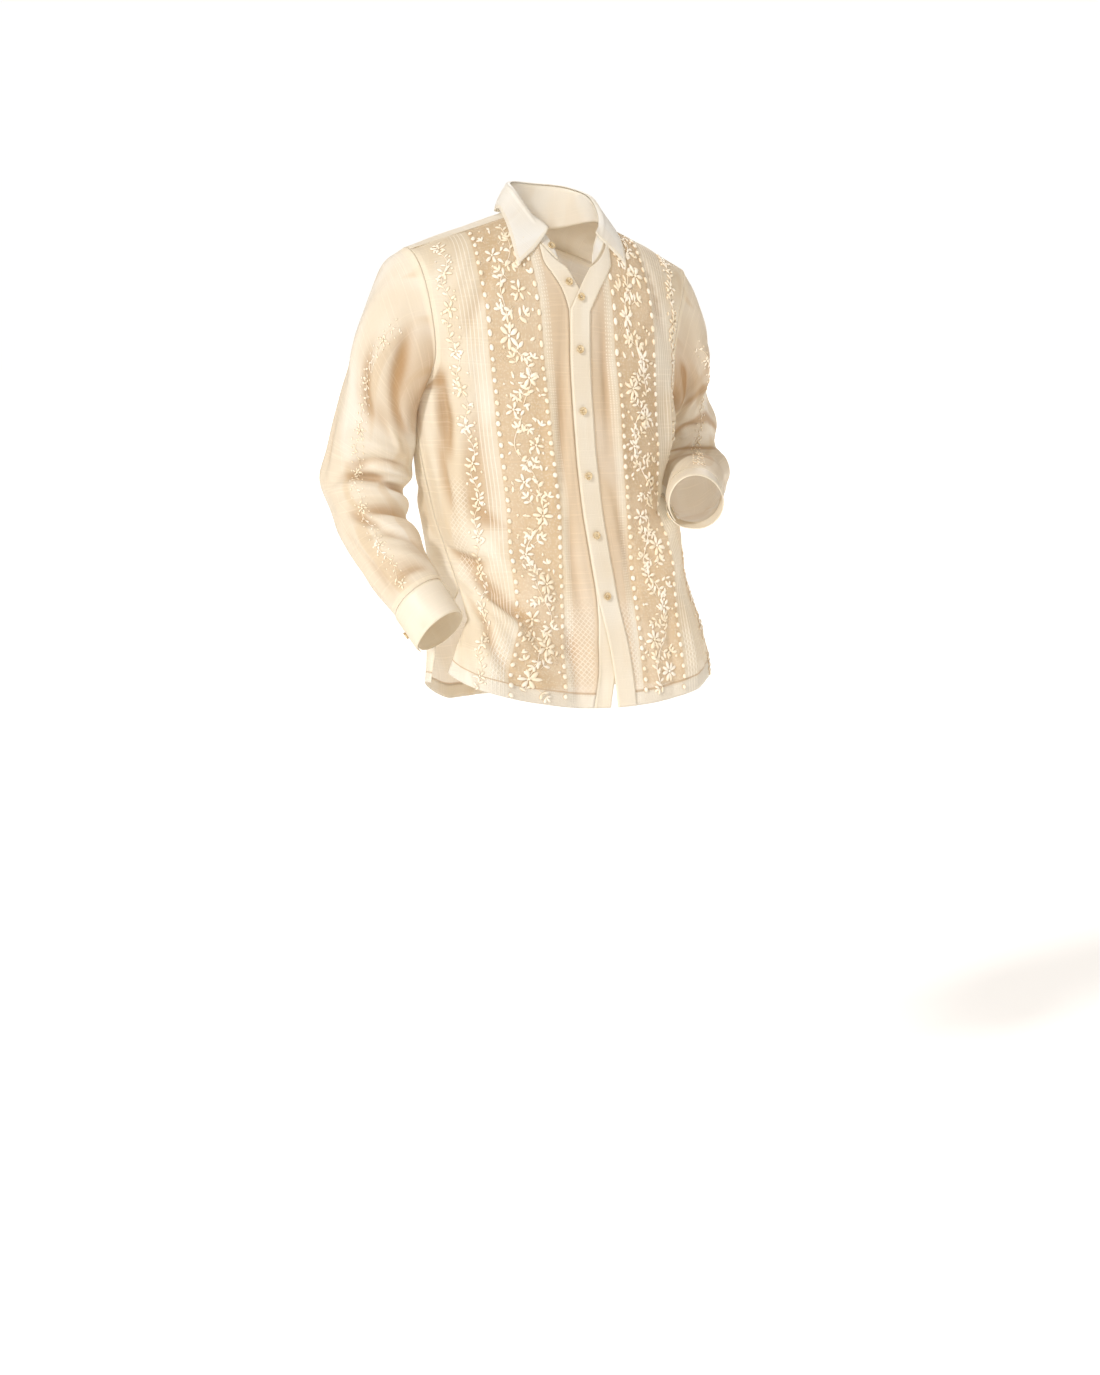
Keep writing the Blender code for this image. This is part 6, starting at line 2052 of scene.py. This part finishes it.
def front_work(tree, plan, colour, covered, height):
    """All the work of a front: pitted ground, pintucks, eyelets, net and hem."""
    broad, narrow = attribute(tree, "from_broad"), attribute(tree, "from_narrow")
    split = add_node(tree, "SeparateXYZ", {0: plan})
    along = split.outputs[1]
    inside = between(tree, broad, -0.0395, 0.0395)
    pits = add_node(tree, "TexVoronoi", {"Vector": plan, "Scale": 1 / 0.0034}).outputs["Distance"]
    pitted = times(tree, inside, ramp(tree, pits, 0.50, 0.25))
    tucked = times(tree, ramp(tree, broad, 0.0430, 0.0445), ramp(tree, narrow, -0.015, -0.0165))
    tucks = times(tree, tucked, lines_every(tree, broad, 0.0055, 0.0011))
    column = between(tree, broad, -0.0530, -0.0425)
    eyelets = times(tree, column, times(tree, lines_every(tree, broad, 0.0036, 0.0012),
                                        lines_every(tree, along, 0.0036, 0.0012)))
    rising = plus(tree, split.outputs[0], along)
    falling = plus(tree, split.outputs[0], times(tree, along, -1.0))
    mesh = combined(tree, "MAXIMUM", lines_every(tree, rising, 0.0075, 0.0011),
                    lines_every(tree, falling, 0.0075, 0.0011))
    netted = times(tree, attribute(tree, "net"), mesh)
    # painted shade: the plain ply beside the button band is painted darker, for the shaded inside
    # seen through it
    painted_inside_shade = ramp(tree, broad, -0.044, -0.056, 0, 0.34)
    colour = blended(tree, painted_inside_shade, colour, linear("#D8B283"))
    colour = blended(tree, times(tree, inside, 0.50), colour, linear("#D6B27C"))
    colour = blended(tree, times(tree, pitted, 0.45), colour, linear("#F9EFDB"))
    white = plus(tree, plus(tree, tucks, eyelets), netted)
    colour = blended(tree, times(tree, white, 0.70), colour, linear("#FFFAF0"))
    raised = plus(tree, times(tree, white, 1.6), times(tree, pitted, 0.9))
    return hemmed(tree, plan, colour, plus(tree, covered, times(tree, white, 0.12)),
                  plus(tree, height, raised))


pina_fronts = woven("calado_pina_cloth", "#F4E8D1", "#FCF6E8", 0.66, front_work, shade_patch_share=0.16)
pina_back = woven("hemmed_pina_cloth", *PINA, hemmed, shade_patch_share=0.14)
pina_sleeve = woven("sleeve_pina_cloth", "#F6EBD7", "#FEFAF1", 0.68, shade_patch_share=0.34)
pina_yoke = woven("two_ply_pina_cloth", "#F9F0DE", "#FEFAF2", 0.92, shade_patch_share=0.12)
print("fronts' cloth has", len(pina_fronts.node_tree.nodes), "nodes")

# %% [markdown]
# Collar, cuffs and button bands are the same fibre in two plies with a stiff interlining. They
# read almost solid and much whiter, with only the faintest weave, and soft turned edges. The
# collar's copy is painted whiter still, as painted light, to look as brightly lit as the cuffs.

# %% Interfaced bands
band_cloth = woven("interlined_band_cloth", "#F6EBD6", "#FBF4E5", 0.985, shade_patch_share=0.10)
# painted light: the collar's copy of the band cloth is painted whiter than the cuffs'
collar_cloth = woven("interlined_collar_cloth", "#FEF8EB", "#FFFDF7", 0.985, shade_patch_share=0.08)
print(band_cloth.name)

# %% [markdown]
# The buttons are trochus shell: a hard tan material with a pearly gloss and soft darker growth
# lines. Their thread is the same floss as the embroidery.

# %% Shell
shell, tree = new_material("turned_trochus_shell")
place = add_node(tree, "TexCoord", {}).outputs["Object"]
growth = add_node(tree, "TexNoise", {"Vector": place, "Scale": 260.0, "Detail": 3.0,
                                     "Distortion": 1.5})
tone = blended(tree, ramp(tree, growth.outputs["Fac"], 0.35, 0.65), linear("#B89765"),
               linear("#E6D2A9"))
lacquer = add_node(tree, "BsdfPrincipled", {"Base Color": tone, "Roughness": 0.28, "IOR": 1.60,
                                            "Coat Weight": 0.4, "Coat Roughness": 0.12})
add_node(tree, "OutputMaterial", {"Surface": lacquer.outputs[0]})
print(shell.name)

# %% [markdown]
# Every piece now gets its finish, rides with the shirt's one body, stands for its solid, and
# each piece of cloth states the size of its cut, so that the fall of the cloth can be compared
# with how much cloth there is.

PIECES = {
    # piece: (solid, material, slot, cut width, cut length, share of that rectangle, held)
    "front_right_cloth": ("front_right", pina_fronts, "pina_cloth", 0.270, 0.675, 0.84, "draped"),
    "front_left_cloth": ("front_left", pina_fronts, "pina_cloth", 0.270, 0.675, 0.84, "draped"),
    "back_cloth": ("back", pina_back, "pina_cloth", 0.540, 0.615, 0.93, "draped"),
    "yoke_cloth": ("yoke", pina_yoke, "pina_cloth", 0.450, 0.150, 0.53, "draped"),
    "sleeve_right_cloth": ("sleeve_right", pina_sleeve, "pina_cloth", 0.500, 0.560, 0.62, "draped"),
    "sleeve_left_cloth": ("sleeve_left", pina_sleeve, "pina_cloth", 0.500, 0.560, 0.64, "draped"),
    "hem_right_cloth": ("hem_front_right", pina, "pina_cloth", 0.250, 0.020, 1.0, "folded"),
    "hem_left_cloth": ("hem_front_left", pina, "pina_cloth", 0.250, 0.020, 1.0, "folded"),
    "hem_back_cloth": ("hem_back", pina, "pina_cloth", 0.545, 0.020, 1.0, "folded"),
    "band_right": ("placket_right", band_cloth, "band_cloth", 0.027, 0.575, 1.0, "draped"),
    "band_left": ("placket_left", band_cloth, "band_cloth", 0.031, 0.575, 1.0, "draped"),
    "cuff_right_band": ("cuff_right", band_cloth, "band_cloth", 0.272, 0.058, 1.0, "folded"),
    "cuff_left_band": ("cuff_left", band_cloth, "band_cloth", 0.272, 0.058, 1.0, "folded"),
    "collar_stand_band": ("collar_stand", collar_cloth, "band_cloth", 0.400, 0.045, 0.85, "folded"),
    "collar_leaf_band": ("collar_leaf", collar_cloth, "band_cloth", 0.450, 0.080, 0.60, "folded"),
}
STITCHED = {
    "front_right_cloth": ("broad_embroidery_right", "narrow_embroidery_right"),
    "front_left_cloth": ("broad_embroidery_left", "narrow_embroidery_left"),
    "sleeve_right_cloth": ("sleeve_embroidery_right",),
    "sleeve_left_cloth": ("sleeve_embroidery_left",),
    "back_cloth": ("hem_stitches", "yoke_stitches"),
    "band_left": ("band_stitches",),
    "cuff_right_band": ("cuff_stitches",),
    "collar_leaf_band": ("collar_stitches",),
}


def cloth_area(thing):
    """Half the surface of a thin shell, which is the area of its cloth."""
    areas = np.empty(len(thing.data.polygons), np.float32)
    thing.data.polygons.foreach_get("area", areas)
    return float(areas.sum()) / 2


for name in sum(STITCHED.values(), ()):
    made_pieces[name].data.materials.append(silk_thread)
    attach(made_pieces[name], "root")

for node_name in button_names:
    for suffix, look in (("_shell", shell), ("_thread", silk_thread)):
        thing = made_pieces[node_name + suffix]
        thing.data.materials.append(look)
        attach(thing, "root")
    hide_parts(node_name)

for name, (solid, look, slot, width, length, share, held) in PIECES.items():
    thing = made_pieces[name]
    thing.data.materials.clear()
    thing.data.materials.append(look)
    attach(thing, "root")
    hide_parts(solid)
    area = cloth_area(thing)
    print(f"{name}: cloth {area:.4f} m2, cut {width * length * share:.4f} m2")
